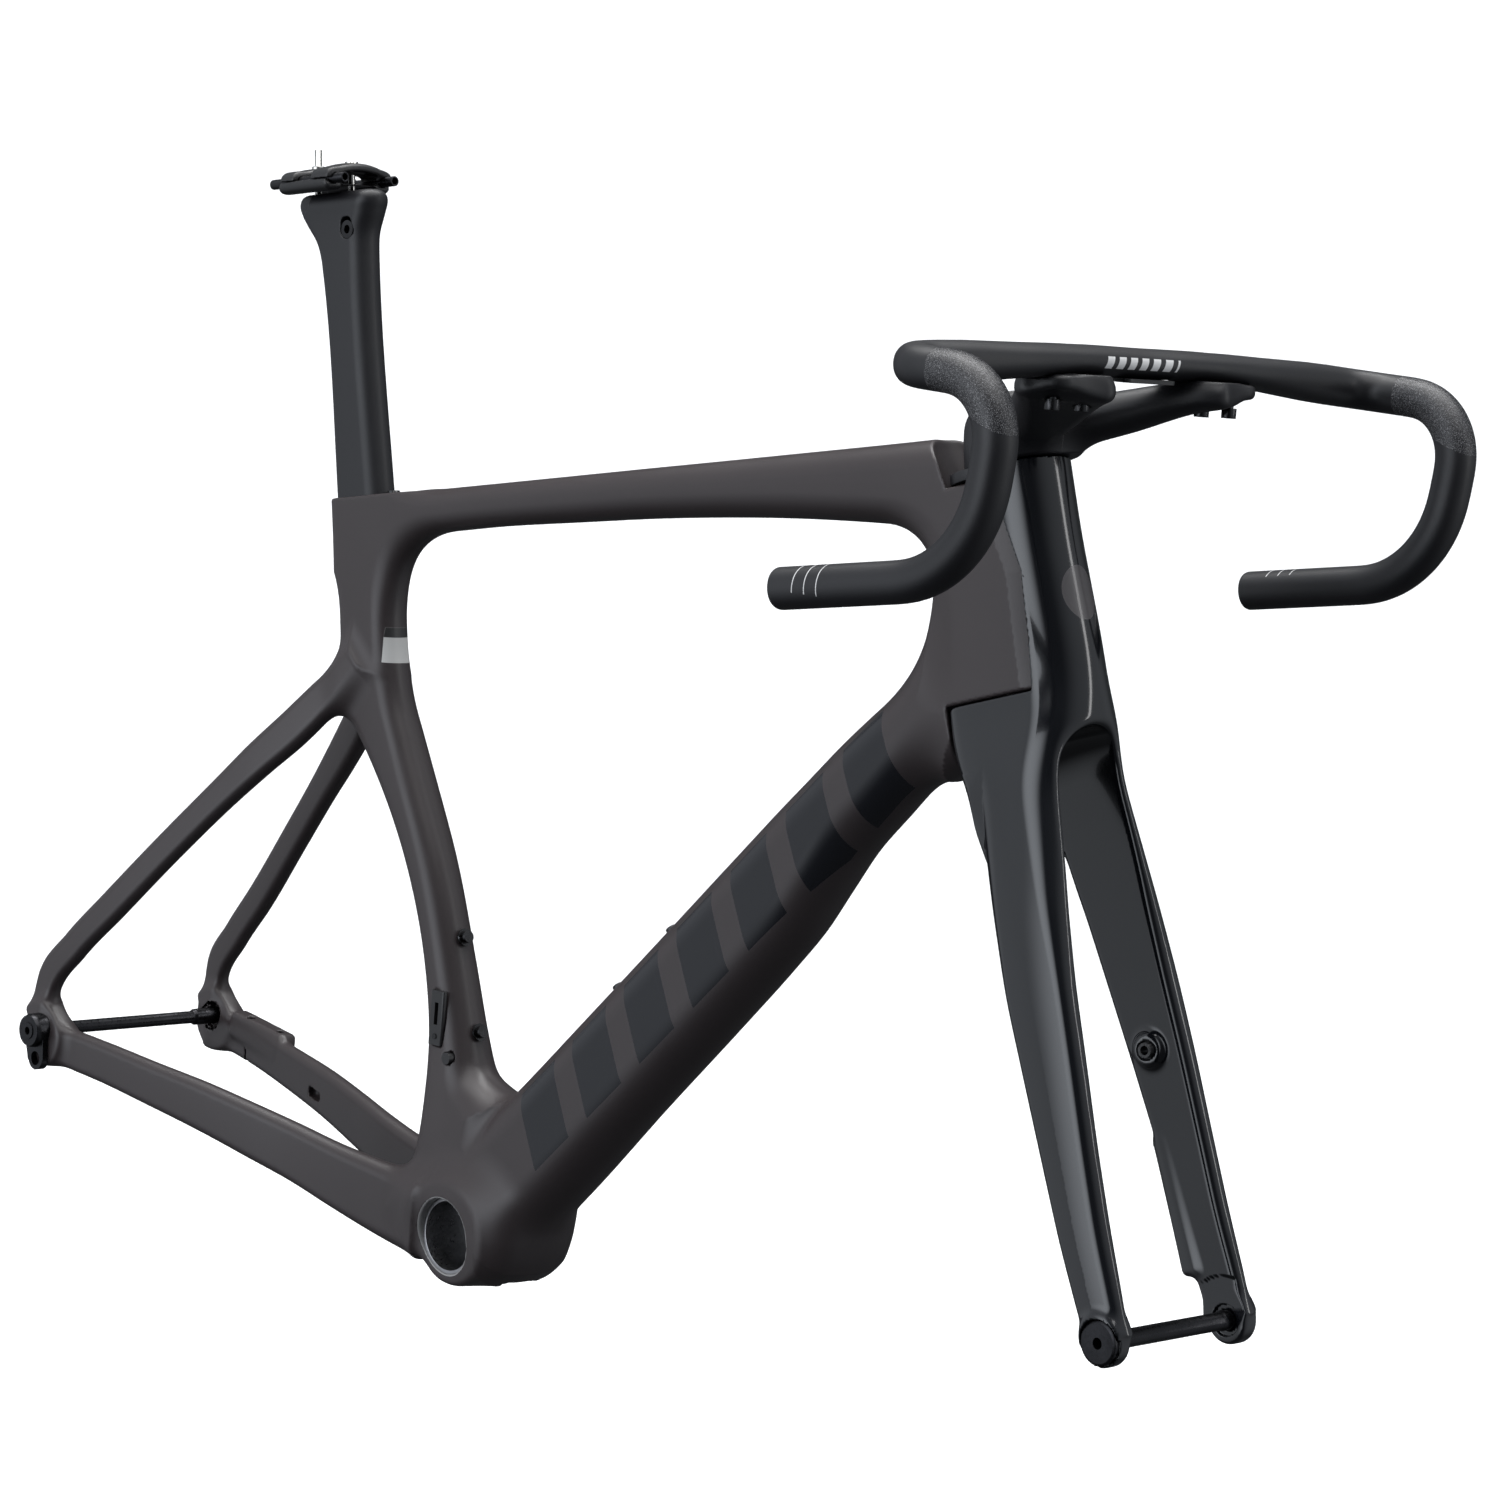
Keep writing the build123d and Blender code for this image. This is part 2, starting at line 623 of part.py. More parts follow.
write("headset_race_lower", ring(steer_plane(head_bottom), lower_ring[2] - running_gap, 14.95, 7.4))
write("headset_race_upper", ring(steer_plane(head_top - 7.2), upper_ring[2] - running_gap, 14.95, 6.7))
with BuildPart() as spacer:
    with BuildSketch(steer_plane(head_top + 1.2)):
        Circle(28.6)
    extrude(amount=stem_bottom - head_top - 1.2)
    with BuildSketch(steer_plane(488)):
        Circle(14.9)
    extrude(amount=20)
drilled("stem_spacer", spacer.part, disc(steer_plane(480), 5.05, 40))
tie_rod_foot = 336.0
write("steerer_tie_rod", disc(steer_plane(tie_rod_foot + 4), 5.0, 196) + disc(steer_plane(tie_rod_foot), 8.2, 10))

# ---------------------------------------------------------------- stem and handlebar
arm_centres = [(412, 8, 566), (440, 20, 577), (470, 38, 588), (494, 56, 598), (512, 72, 602)]
arm_sizes = [(34, 26), (26, 24), (22, 24), (18, 30), (9, 34)]
arm_dir = Vector(0.78, 0.55, 0.3).normalized()
arm_up = Vector(-0.25, -0.17, 0.95).normalized()
stem_bolt_x = 508.0
stem_bolt_sides = [53.0, 78.0]
stem_bolt_head_bottom = 590.0


def stem_arm(side):
    sections = []
    for (x, y, z), (height, width) in zip(arm_centres, arm_sizes):
        direction = Vector(arm_dir.X, side * arm_dir.Y, arm_dir.Z)
        up = Vector(arm_up.X, side * arm_up.Y, arm_up.Z)
        plane = Plane(origin=(x, side * y, z), x_dir=up, z_dir=direction)
        sections.append((plane, height, width, min(height, width) / 2 - 0.7))
    return loft_sections(sections)


bar_route = [(503, 105, 616.5), (512, 203, 613), (586, 203, 610), (572, 203, 500), (438, 206, 479.5)]
bar_bends = [34.0, 36.0, 55.0]
flat_sections = [       # x, y, height, depth and thickness of the bar's flattened middle
    (499, 0, 617.0, 32, 17),
    (503, 60, 617.0, 32, 17),
    (506, 110, 616.3, 28, 20),
    (509, 150, 614.8, 24.6, 23.6),
]


def flat_bar_section(x, y, height, depth, thickness):
    """Upright section of the bar's flattened middle, facing left."""
    plane = Plane(origin=(x, y, height), x_dir=(1, 0, 0), z_dir=(0, 1, 0))
    return plane, depth, thickness, thickness / 2 - 0.3


with BuildPart() as handlebar:
    for side in (1, -1):
        add(loft_sections([flat_bar_section(x, side * y, height, depth, thickness)
                           for x, y, height, depth, thickness in flat_sections]))
        with BuildLine(mode=Mode.PRIVATE) as route:
            FilletPolyline(*[(x, side * y, z) for x, y, z in bar_route], radius=bar_bends)
        with BuildSketch(Plane(origin=route.line @ 0, z_dir=route.line % 0)):
            Circle(bar_radius)
        sweep(path=route.line)
bar_end_bores = []
for side in (1, -1):
    mouth = Vector(bar_route[-1][0], side * bar_route[-1][1], bar_route[-1][2])
    inward = Vector(bar_route[-2][0], side * bar_route[-2][1], bar_route[-2][2]) - mouth
    bar_end_bores.append(rod(mouth - inward.normalized() * 5, mouth + inward.normalized() * 60, 9.6))
stem_bolt_places = [(stem_bolt_x, side * y) for side in (1, -1) for y in stem_bolt_sides]
bolt_holes = [rod((x, y, 580), (x, y, 618), 2.6) for x, y in stem_bolt_places]
head_seats = [rod((x, y, 560), (x, y, 594.5), 4.6) for x, y in stem_bolt_places]
bar_seat_height = 607.5
shim_thickness = 1.6
drilled("handlebar", handlebar.part, *bar_end_bores, *bolt_holes,
        block((480, 34, 590), (540, 94, bar_seat_height)), block((480, -94, 590), (540, -34, bar_seat_height)))
write("bar_underside_cover", block((492, -22, 606.0), (514, 22, 608.4), 4))
write("bar_shims", Compound(children=[
    block((494, 46, bar_seat_height - shim_thickness), (520, 86, bar_seat_height), 6)
    - Compound(children=bolt_holes),
    block((494, -86, bar_seat_height - shim_thickness), (520, -46, bar_seat_height), 6)
    - Compound(children=bolt_holes)]))
with BuildPart() as stem:
    add(loft_sections([
        head_section(stem_bottom, -29, 47, 53, 23),
        head_section(520, -29, 46, 52, 23),
        head_section(534, -27, 40, 50, 22),
        head_section(546, -20, 32, 40, 18),
    ]))
    for side in (1, -1):
        add(stem_arm(side))
    add(block((480, -100, bar_seat_height - shim_thickness), (545, 100, 640)), mode=Mode.SUBTRACT)
drilled("stem", stem.part, disc(steer_plane(500), 5.05, 36), disc(steer_plane(460), 70, stem_bottom - 460),
        *bolt_holes, *head_seats)
write("stem_bolts", Compound(children=[
    rod((x, y, 592), (x, y, 617), 2.5) + rod((x, y, 588.5), (x, y, 594.4), 4.4) for x, y in stem_bolt_places]))

# ---------------------------------------------------------------- seatpost and saddle clamp
tilt_axis = Vector(-224, 0, 655)
head_radius = 27.0
cradle_slope = 6.6
cradle_centre = -8.0
rail_height = 35.0
tilt_plane = Plane(origin=tilt_axis, x_dir=(cos(radians(cradle_slope)), 0, sin(radians(cradle_slope))),
                   z_dir=(-sin(radians(cradle_slope)), 0, cos(radians(cradle_slope))))
clamp_bolts_x = (cradle_centre - 17.0, cradle_centre + 19.0)


def in_clamp(x, y, z):
    """Point given from the tilt axis in the clamp's own slope."""
    return tilt_axis + tilt_plane.x_dir * x + left * y + tilt_plane.z_dir * z


def clamp_block(low, high, corner):
    """Box in the clamp's own slope."""
    with BuildPart() as box:
        with BuildSketch(Plane(origin=in_clamp((low[0] + high[0]) / 2, (low[1] + high[1]) / 2, low[2]),
                               x_dir=tilt_plane.x_dir, z_dir=tilt_plane.z_dir)):
            RectangleRounded(high[0] - low[0], high[1] - low[1], corner)
        extrude(amount=high[2] - low[2])
    return box.part


with BuildPart() as post:
    with BuildSketch(post_plane(post_bottom_height)):
        RectangleRounded(post_depth, post_width, 10)
    extrude(amount=(634 - post_bottom_height) / sin(radians(seat_angle)))
    add(loft_sections([
        (post_plane(634), post_depth, post_width, 10),
        (post_plane(648, -0.5), 54, post_width, 10),
        (post_plane(662, -1), 68, 26, 11),
        (post_plane(676, -1), 78, 28, 12),
        (post_plane(700, -1), 80, 28, 12),
    ]))
    # rounded top, concentric with the tilt axis
    with BuildSketch(side_plane(20)):
        Polygon((-290, 640), (-150, 640), (-150, 720), (-290, 720), align=None)
        with Locations((tilt_axis.X, tilt_axis.Z)):
            Circle(head_radius, mode=Mode.SUBTRACT)
        Polygon((-272, 640), (-176, 640), (-176, 672), (-184, 680), (-263, 674), (-272, 666), align=None,
                mode=Mode.SUBTRACT)
    extrude(amount=40, mode=Mode.SUBTRACT)
bolt_slots = [clamp_block((x - 9, -4.2, -22), (x + 9, 4.2, 60), 4) for x in clamp_bolts_x]
barrel_x, barrel_z, barrel_radius = tilt_axis.X + 20, 658, 6.2
drilled("seatpost", post.part, *bolt_slots,
        rod((barrel_x, -20, barrel_z), (barrel_x, 20, barrel_z), barrel_radius))
drilled("clamp_barrel_nut", rod((barrel_x, -12, barrel_z), (barrel_x, 12, barrel_z), barrel_radius - 0.02),
        rod((barrel_x, -13, barrel_z), (barrel_x, -8, barrel_z), 3.0),
        rod((barrel_x, 8, barrel_z), (barrel_x, 13, barrel_z), 3.0))
rails = [rod(in_clamp(cradle_centre - 39, side * rail_spacing / 2, rail_height),
             in_clamp(cradle_centre + 39, side * rail_spacing / 2, rail_height), rail_radius, 2.3)
         for side in (1, -1)]
rail_grooves = [rod(in_clamp(cradle_centre - 45, side * rail_spacing / 2, rail_height),
                    in_clamp(cradle_centre + 45, side * rail_spacing / 2, rail_height), rail_radius + 0.03)
                for side in (1, -1)]
clamp_holes = [rod(in_clamp(x, 0, -30), in_clamp(x, 0, 70), 2.7) for x in clamp_bolts_x]
write("rail_rods", Compound(children=rails))
drilled("rail_cradle", clamp_block((cradle_centre - 27, -28, 22), (cradle_centre + 27, 28, rail_height - 0.4), 8),
        clamp_block((cradle_centre - 40, -15.5, 0), (cradle_centre + 40, 15.5, rail_height - 3.5), 1),
        *rail_grooves, *clamp_holes)
drilled("rail_clamp_top", clamp_block((cradle_centre - 24, -28, rail_height + 0.4),
                                      (cradle_centre + 25, 28, rail_height + 9), 9),
        *rail_grooves, *clamp_holes)
rear_x, front_x = clamp_bolts_x
write("clamp_bolt_front", rod(in_clamp(front_x, 0, 10.5), in_clamp(front_x, 0, rail_height + 9), 2.5)
      + rod(in_clamp(front_x, 0, rail_height + 9), in_clamp(front_x, 0, rail_height + 13), 4.5))
write("clamp_bolt_rear", rod(in_clamp(rear_x, 0, 12), in_clamp(rear_x, 0, rail_height + 24), 2.5))
write("clamp_nut_rear", rod(in_clamp(rear_x, 0, rail_height + 9), in_clamp(rear_x, 0, rail_height + 12.5), 4.6, 2.5))

# ---------------------------------------------------------------- thru-axles
write("front_axle", turned_y(front_axle.X, front_axle.Z, [
    (-63.4, 11.5), (-62.6, 13), (-59.1, 13), (-59.1, axle_radius), (-44, axle_radius), (-43, 5.4),
    (44, 5.4), (46, axle_radius), (62, axle_radius)])
      - rod((front_axle.X, -64, front_axle.Z), (front_axle.X, -56, front_axle.Z), 3.4))
write("rear_axle", turned_y(rear_axle_x, bb_drop, [
    (-97.2, axle_radius), (-66, axle_radius), (-64, axle_waist_radius), (50, axle_waist_radius),
    (52, axle_radius), (80.1, axle_radius), (80.1, 8.7), (83.6, 8.7)])
      - rod((rear_axle_x, -98, bb_drop), (rear_axle_x, -90, bb_drop), 2.9)
      - rod((rear_axle_x, 84, bb_drop), (rear_axle_x, 78, bb_drop), 2.9))
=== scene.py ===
import json
import math

import bpy
import numpy as np
from mathutils import Matrix, Vector


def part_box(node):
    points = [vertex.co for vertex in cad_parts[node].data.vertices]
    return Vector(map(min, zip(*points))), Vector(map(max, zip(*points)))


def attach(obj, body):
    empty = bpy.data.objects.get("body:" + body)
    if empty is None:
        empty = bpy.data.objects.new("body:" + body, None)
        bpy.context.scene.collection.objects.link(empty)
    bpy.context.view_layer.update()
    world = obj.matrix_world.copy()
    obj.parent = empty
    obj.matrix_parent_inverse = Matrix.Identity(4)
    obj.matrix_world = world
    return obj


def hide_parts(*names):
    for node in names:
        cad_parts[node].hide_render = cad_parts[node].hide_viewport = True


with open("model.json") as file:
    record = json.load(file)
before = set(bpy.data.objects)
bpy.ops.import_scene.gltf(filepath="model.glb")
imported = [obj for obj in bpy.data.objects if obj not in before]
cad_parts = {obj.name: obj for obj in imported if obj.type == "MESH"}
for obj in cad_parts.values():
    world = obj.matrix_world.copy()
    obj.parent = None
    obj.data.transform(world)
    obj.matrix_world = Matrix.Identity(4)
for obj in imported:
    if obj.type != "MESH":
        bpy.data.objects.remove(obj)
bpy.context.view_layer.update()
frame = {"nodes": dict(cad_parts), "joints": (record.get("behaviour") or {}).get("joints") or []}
nodes = frame["nodes"]
joints = {joint["name"]: joint for joint in frame["joints"]}

# Shapes are worked out in millimetres in the row frame and written to the meshes in metres.
MM = 0.001
SMALL = 1e-9


# ---------------------------------------------------------------- reference lines, from the joints
def joint_point(name):
    return np.array(joints[name]["pos_m"]) / MM


def unit(vector):
    vector = np.array(vector, float)
    return vector / np.linalg.norm(vector)


FORWARD = np.array([1.0, 0.0, 0.0])
LEFT = np.array([0.0, 1.0, 0.0])
UP = np.array([0.0, 0.0, 1.0])
ORIGIN = np.zeros(3)
STEER_UP = unit(joints["steering"]["axis"])
STEER_FORWARD = np.array([STEER_UP[2], 0, -STEER_UP[0]])
POST_UP = unit(joints["seatpost_height"]["axis"])
POST_FORWARD = np.array([POST_UP[2], 0, -POST_UP[0]])
TILT_AXIS = joint_point("saddle_tilt")
front_axle_low, front_axle_high = (np.array(corner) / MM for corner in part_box("front_axle"))
rear_axle_low, rear_axle_high = (np.array(corner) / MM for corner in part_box("rear_axle"))
FRONT_AXLE = (front_axle_low + front_axle_high) / 2 * np.array([1, 0, 1])
REAR_AXLE = (rear_axle_low + rear_axle_high) / 2 * np.array([1, 0, 1])
FORK_OFFSET = 45.0
STEER_FOOT = FRONT_AXLE - STEER_FORWARD * FORK_OFFSET
POST_FOOT = np.array([-76.7, 0, 0])
COLLAR_HEIGHT = 482.0
DOWN_TUBE_DIR = unit([1, 0, 1])
DOWN_TUBE_BELOW = unit([1, 0, -1])
DOWN_TUBE_FOOT = np.array([-38.8, 0, 38.8])
LEG_DOWN = unit([0.3875, 0, -0.9219])
LEG_FORWARD = unit([0.9219, 0, 0.3875])
CLAMP_SLOPE = math.radians(6.6)
CLAMP_FORWARD = np.array([math.cos(CLAMP_SLOPE), 0, math.sin(CLAMP_SLOPE)])
CLAMP_UP = np.array([-math.sin(CLAMP_SLOPE), 0, math.cos(CLAMP_SLOPE)])


# ---------------------------------------------------------------- smooth solids as distance fields
def rows_at(rows, t):
    """Columns of a table at t, on a smooth curve through its rows."""
    table = np.array(sorted(rows), float)
    knots, values = table[:, 0], table[:, 1:]
    slopes = np.gradient(values, knots, axis=0)
    t = np.clip(t, knots[0], knots[-1])
    i = np.clip(np.searchsorted(knots, t) - 1, 0, len(knots) - 2)
    span = (knots[i + 1] - knots[i])[:, None]
    s = (t - knots[i])[:, None] / span
    low = values[i] * (1 + 2 * s) * (1 - s) ** 2 + span * slopes[i] * s * (1 - s) ** 2
    high = values[i + 1] * s * s * (3 - 2 * s) - span * slopes[i + 1] * s * s * (1 - s)
    return (low + high).T


def blend_min(a, b, width):
    """Union with a fillet of about the given width."""
    h = np.maximum(width - np.abs(a - b), 0) / width
    return np.minimum(a, b) - h * h * width / 4


def blend_max(a, b, width):
    return -blend_min(-a, -b, width)


def bevel_max(a, b, size):
    """Intersection with a flat bevel."""
    return np.maximum(np.maximum(a, b), (a + b + size) * math.sqrt(0.5))


def rounded_box(u, v, half_u, half_v, corner, crown=0.05):
    """Distance to a rounded rectangle whose long sides are slightly crowned."""
    v = np.abs(v) + crown * half_v * np.clip(u / half_u, -1, 1) ** 2
    corner = np.minimum(corner, np.minimum(half_u, half_v) - 0.01)
    qu = np.abs(u) - half_u + corner
    qv = np.abs(v) - half_v + corner
    outside = np.hypot(np.maximum(qu, 0), np.maximum(qv, 0))
    return outside + np.minimum(np.maximum(qu, qv), 0) - corner


def past_ends(rows, t):
    """How far t lies past the first or last row of a table."""
    return np.maximum(min(row[0] for row in rows) - t, t - max(row[0] for row in rows))


def blade(p, foot, along, across, rows, end_round):
    """Tube along a straight line. Rows hold t, low edge, high edge, width and corner radius."""
    q = p - foot
    t = q @ along
    low, high, width, corner = rows_at(rows, t)
    d = rounded_box(q @ across - (low + high) / 2, p[:, 1], (high - low) / 2, width / 2, corner)
    return blend_max(d, past_ends(rows, t), end_round)


def band(p, foot, along, across, rows):
    """A tube's outline in the middle plane, with its half width and corner radius there."""
    q = p - foot
    t = q @ along
    low, high, width, corner = rows_at(rows, t)
    u = q @ across
    return np.maximum(np.maximum(low - u, u - high), past_ends(rows, t)), width / 2, corner


def thickened(outline, side, half_width, corner):
    """Solid between two sides, its outline's edges rounded."""
    a = outline + corner
    crown = 0.05 * half_width * np.clip(1 + outline / 28, 0, 1) ** 2
    b = side + crown - half_width + corner
    return np.hypot(np.maximum(a, 0), np.maximum(b, 0)) + np.minimum(np.maximum(a, b), 0) - corner


def mean_by_nearness(outlines, values, reach=14.0):
    """Average of the tubes' values, each weighted by how near its outline is."""
    weights = [np.exp(-np.clip(outline, -30, 120) / reach) for outline in outlines]
    return sum(w * v for w, v in zip(weights, values)) / sum(weights)


def limb(p, foot, along, across, rows):
    """Tube off the middle plane, the same on both sides. Rows hold t, height, |y|, depth and width."""
    q = p - foot
    t = q @ along
    height, side, depth, width = rows_at(rows, t)
    v = np.abs(p[:, 1]) - side
    d = rounded_box(q @ across - height, v, depth / 2, width / 2, np.minimum(depth, width) / 2 - 0.5)
    return blend_max(d, past_ends(rows, t), LIMB_END_ROUND)


LIMB_END_ROUND = 2.0


def limb_rows(foot, along, across, places):
    """Rows for limb() from (x, |y|, z, depth, width) places."""
    rows = []
    for x, y, z, depth, width in places:
        q = np.array([x, 0, z]) - foot
        rows.append((q @ along, q @ across, y, depth, width))
    return rows


def turned(p, x, z, low, high, radius, edge=2.0):
    """Cylinder along Y through (x, z), with rounded rims."""
    r = np.hypot(p[:, 0] - x, p[:, 2] - z)
    return blend_max(r - radius, np.abs(p[:, 1] - (low + high) / 2) - (high - low) / 2, edge)


def bar_field(p, start, end, radius, edge=0.6):
    """Round rod between two points."""
    start, end = np.array(start, float), np.array(end, float)
    axis = unit(end - start)
    q = p - start
    t = q @ axis
    r = np.linalg.norm(q - t[:, None] * axis, axis=1)
    half = np.linalg.norm(end - start) / 2
    return blend_max(r - radius, np.abs(t - half) - half, edge)


def box_field(p, centre, axes, half, corner=1.0):
    """Box with rounded edges: axes are its three directions, half its half sizes."""
    q = np.abs((p - np.array(centre, float)) @ np.array(axes).T) - (np.array(half, float) - corner)
    return np.linalg.norm(np.maximum(q, 0), axis=1) + np.minimum(q.max(axis=1), 0) - corner


def tilted(slope):
    """Axes for box_field() of a box whose length climbs forward at a slope."""
    return unit([1, 0, slope]), LEFT, unit([-slope, 0, 1])


def steer_coordinates(p):
    """Distance up the steering axis, and ahead of it."""
    q = p - STEER_FOOT
    return q @ STEER_UP, q @ STEER_FORWARD


def spread(field, p):
    """Field and its gradient at points, from a tetrahedron of samples."""
    step = 0.08
    corners = np.array([[1, -1, -1], [-1, -1, 1], [-1, 1, -1], [1, 1, 1]], float)
    gradient = np.zeros_like(p)
    total = np.zeros(len(p))
    for corner in corners:
        d = field(p + corner * step)
        gradient += corner * d[:, None]
        total += d
    gradient /= 4 * step
    return total / 4, gradient


def settle(field, points, reach):
    """Move points onto the surface, each by no more than the reach."""
    d, gradient = spread(field, points)
    size = np.maximum((gradient ** 2).sum(1), 0.05)
    move = gradient * (d / size)[:, None]
    length = np.maximum(np.linalg.norm(move, axis=1), SMALL)
    return points - move * np.minimum(1, reach / length)[:, None]


COARSE = 4              # grid steps in a coarse block
BATCH = 4000            # blocks sampled at a time
CORNER_STEPS = [(a, b, c) for a in (0, 1) for b in (0, 1) for c in (0, 1)]


def grid_of(count):
    """Whole-number places of a grid, one row each."""
    return np.stack(np.meshgrid(*[np.arange(n) for n in count], indexing="ij"), -1).reshape(-1, 3)


def sampled(field, low, high, step):
    """Field values on a fine grid, worked out only in the coarse blocks near the surface."""
    block_size = step * COARSE
    count = np.ceil((high - low) / block_size).astype(int)
    d = field(low + (grid_of(count) + 0.5) * block_size)
    reach = block_size * 1.9
    near = np.flatnonzero(np.abs(d) < reach)
    blocks = np.stack(np.unravel_index(near, count), -1) * COARSE
    values = np.where(d.reshape(count) < 0, -reach, reach).astype(np.float32)
    for axis in range(3):
        values = np.repeat(values, COARSE, axis)
    inner = grid_of([COARSE] * 3)
    for start in range(0, len(blocks), BATCH):
        index = (blocks[start:start + BATCH, None, :] + inner[None]).reshape(-1, 3)
        i, j, k = index.T
        values[i, j, k] = field(low + (index + 0.5) * step)
    return values


def mixed_cells(inside):
    """Cells of the grid whose corners are not all on one side of the surface."""
    shape = np.array(inside.shape)
    corners_inside = np.zeros(shape - 1, np.int8)
    for dx, dy, dz in CORNER_STEPS:
        corners_inside += inside[dx:shape[0] - 1 + dx, dy:shape[1] - 1 + dy, dz:shape[2] - 1 + dz]
    return (corners_inside > 0) & (corners_inside < 8)


def cell_vertices(values, places):
    """One vertex in each mixed cell: the mean of the places where the surface crosses its edges."""
    total = np.zeros((len(places), 3))
    hits = np.zeros(len(places))
    for axis in range(3):
        for corner in CORNER_STEPS:
            if corner[axis]:
                continue
            other = list(corner)
            other[axis] = 1
            one = values[tuple((places + corner).T)]
            two = values[tuple((places + other).T)]
            crossed = (one < 0) != (two < 0)
            share = one[crossed] / (one[crossed] - two[crossed])
            point = places[crossed] + np.array(corner, float)
            point[:, axis] += share
            total[crossed] += point
            hits[crossed] += 1
    return total / hits[:, None]


def cell_quads(inside, number):
    """A quad through the four cells round each grid edge that the surface crosses, facing out."""
    quads = []
    for axis in range(3):
        u, v = (axis + 1) % 3, (axis + 2) % 3
        here = [slice(1, -1)] * 3
        there = [slice(1, -1)] * 3
        here[axis] = slice(0, -1)
        there[axis] = slice(1, None)
        changed = inside[tuple(here)] != inside[tuple(there)]
        base = np.argwhere(changed) + 1
        base[:, axis] -= 1
        faces_out = inside[tuple(base.T)]
        back_u, back_v = np.zeros(3, int), np.zeros(3, int)
        back_u[u], back_v[v] = -1, -1
        offsets = (back_u + back_v, back_v, 0 * back_u, back_u)
        ring = np.stack([number[tuple((base + offset).T)] for offset in offsets], -1)
        ring[~faces_out] = ring[~faces_out][:, ::-1]
        quads.append(ring)
    return np.concatenate(quads)


def skin(field, low, high, step):
    """Quads of a field's zero surface by surface nets, each vertex then moved onto the surface."""
    low, high = np.array(low, float), np.array(high, float)
    values = sampled(field, low, high, step)
    inside = values < 0
    mixed = mixed_cells(inside)
    places = np.argwhere(mixed)
    number = np.full(mixed.shape, -1, np.int64)
    number[mixed] = np.arange(len(places))
    points = low + (cell_vertices(values, places) + 0.5) * step
    for _ in range(2):
        points = settle(field, points, 0.7 * step)
    return points, cell_quads(inside, number)


def relax(points, quads, field, rounds, reach):
    """Even out the quads along the surface, and go back onto it."""
    edges = np.concatenate([quads[:, [0, 1]], quads[:, [1, 2]], quads[:, [2, 3]], quads[:, [3, 0]]])
    for _ in range(rounds):
        total = np.zeros_like(points)
        hits = np.zeros(len(points))
        for a, b in ((0, 1), (1, 0)):
            for k in range(3):
                total[:, k] += np.bincount(edges[:, a], points[edges[:, b], k], len(points))
            hits += np.bincount(edges[:, a], minlength=len(points))
        pull = total / np.maximum(hits, 1)[:, None] - points
        d, gradient = spread(field, points)
        normal = gradient / np.maximum(np.linalg.norm(gradient, axis=1), SMALL)[:, None]
        pull -= normal * (pull * normal).sum(1)[:, None]
        points = settle(field, points + pull * 0.5, reach)
    return points


def mesh_object(name, points, faces):
    mesh = bpy.data.meshes.new(name)
    mesh.from_pydata((np.array(points) * MM).tolist(), [], [list(map(int, f)) for f in faces])
    mesh.validate()
    mesh.shade_smooth()
    piece = bpy.data.objects.new(name, mesh)
    bpy.context.scene.collection.objects.link(piece)
    return piece


FACE_LIMIT = 98000      # quads in one piece


def moulded(name, field, low, high, step, body, material, replaced, rounds=1):
    """One smooth piece from a field, its normals taken from the field itself."""
    points, quads = skin(field, low, high, step)
    points = relax(points, quads, field, rounds, 0.5 * step)
    used = np.unique(quads)
    number = np.full(len(points), -1)
    number[used] = np.arange(len(used))
    points, quads = points[used], number[quads]
    piece = mesh_object(name, points, quads)
    if len(quads) > FACE_LIMIT:
        thin = piece.modifiers.new("thin", "DECIMATE")
        thin.ratio = FACE_LIMIT / len(quads)
        with bpy.context.temp_override(object=piece, active_object=piece, selected_objects=[piece]):
            bpy.ops.object.modifier_apply(modifier="thin")
        points = np.array([v.co for v in piece.data.vertices]) / MM
        points = settle(field, points, 0.5 * step)
        piece.data.vertices.foreach_set("co", (points * MM).astype(np.float32).ravel())
    d, gradient = spread(field, points)
    normal = gradient / np.maximum(np.linalg.norm(gradient, axis=1), SMALL)[:, None]
    piece.data.normals_split_custom_set_from_vertices(normal.tolist())
    piece.data.materials.append(material)
    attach(piece, body)
    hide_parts(*replaced)


# ---------------------------------------------------------------- materials
def new_material(name, colour, roughness, metallic=0.0, coat=0.0, coat_roughness=0.03):
    material = bpy.data.materials.new(name)
    material.use_nodes = True
    shader = material.node_tree.nodes["Principled BSDF"]
    shader.inputs["Base Color"].default_value = (*colour, 1)
    shader.inputs["Roughness"].default_value = roughness
    shader.inputs["Metallic"].default_value = metallic
    shader.inputs["Coat Weight"].default_value = coat
    shader.inputs["Coat Roughness"].default_value = coat_roughness
    return material, shader


def add_node(material, kind, **settings):
    node = material.node_tree.nodes.new(kind)
    for key, value in settings.items():
        setattr(node, key, value)
    return node


def math_node(material, operation, *inputs, clamp=False):
    """Math node on sockets or numbers; returns its output."""
    node = add_node(material, "ShaderNodeMath", operation=operation, use_clamp=clamp)
    for socket, value in zip(node.inputs, inputs):
        if isinstance(value, (int, float)):
            socket.default_value = value
        else:
            material.node_tree.links.new(value, socket)
    return node.outputs[0]


def product(material, first, *others):
    """Product of several sockets or numbers."""
    for other in others:
        first = math_node(material, "MULTIPLY", first, other)
    return first


def object_axes(material):
    """The object's own x, y and z, in metres."""
    place = add_node(material, "ShaderNodeTexCoord")
    split = add_node(material, "ShaderNodeSeparateXYZ")
    material.node_tree.links.new(place.outputs["Object"], split.inputs[0])
    return place.outputs["Object"], split.outputs[0], split.outputs[1], split.outputs[2]


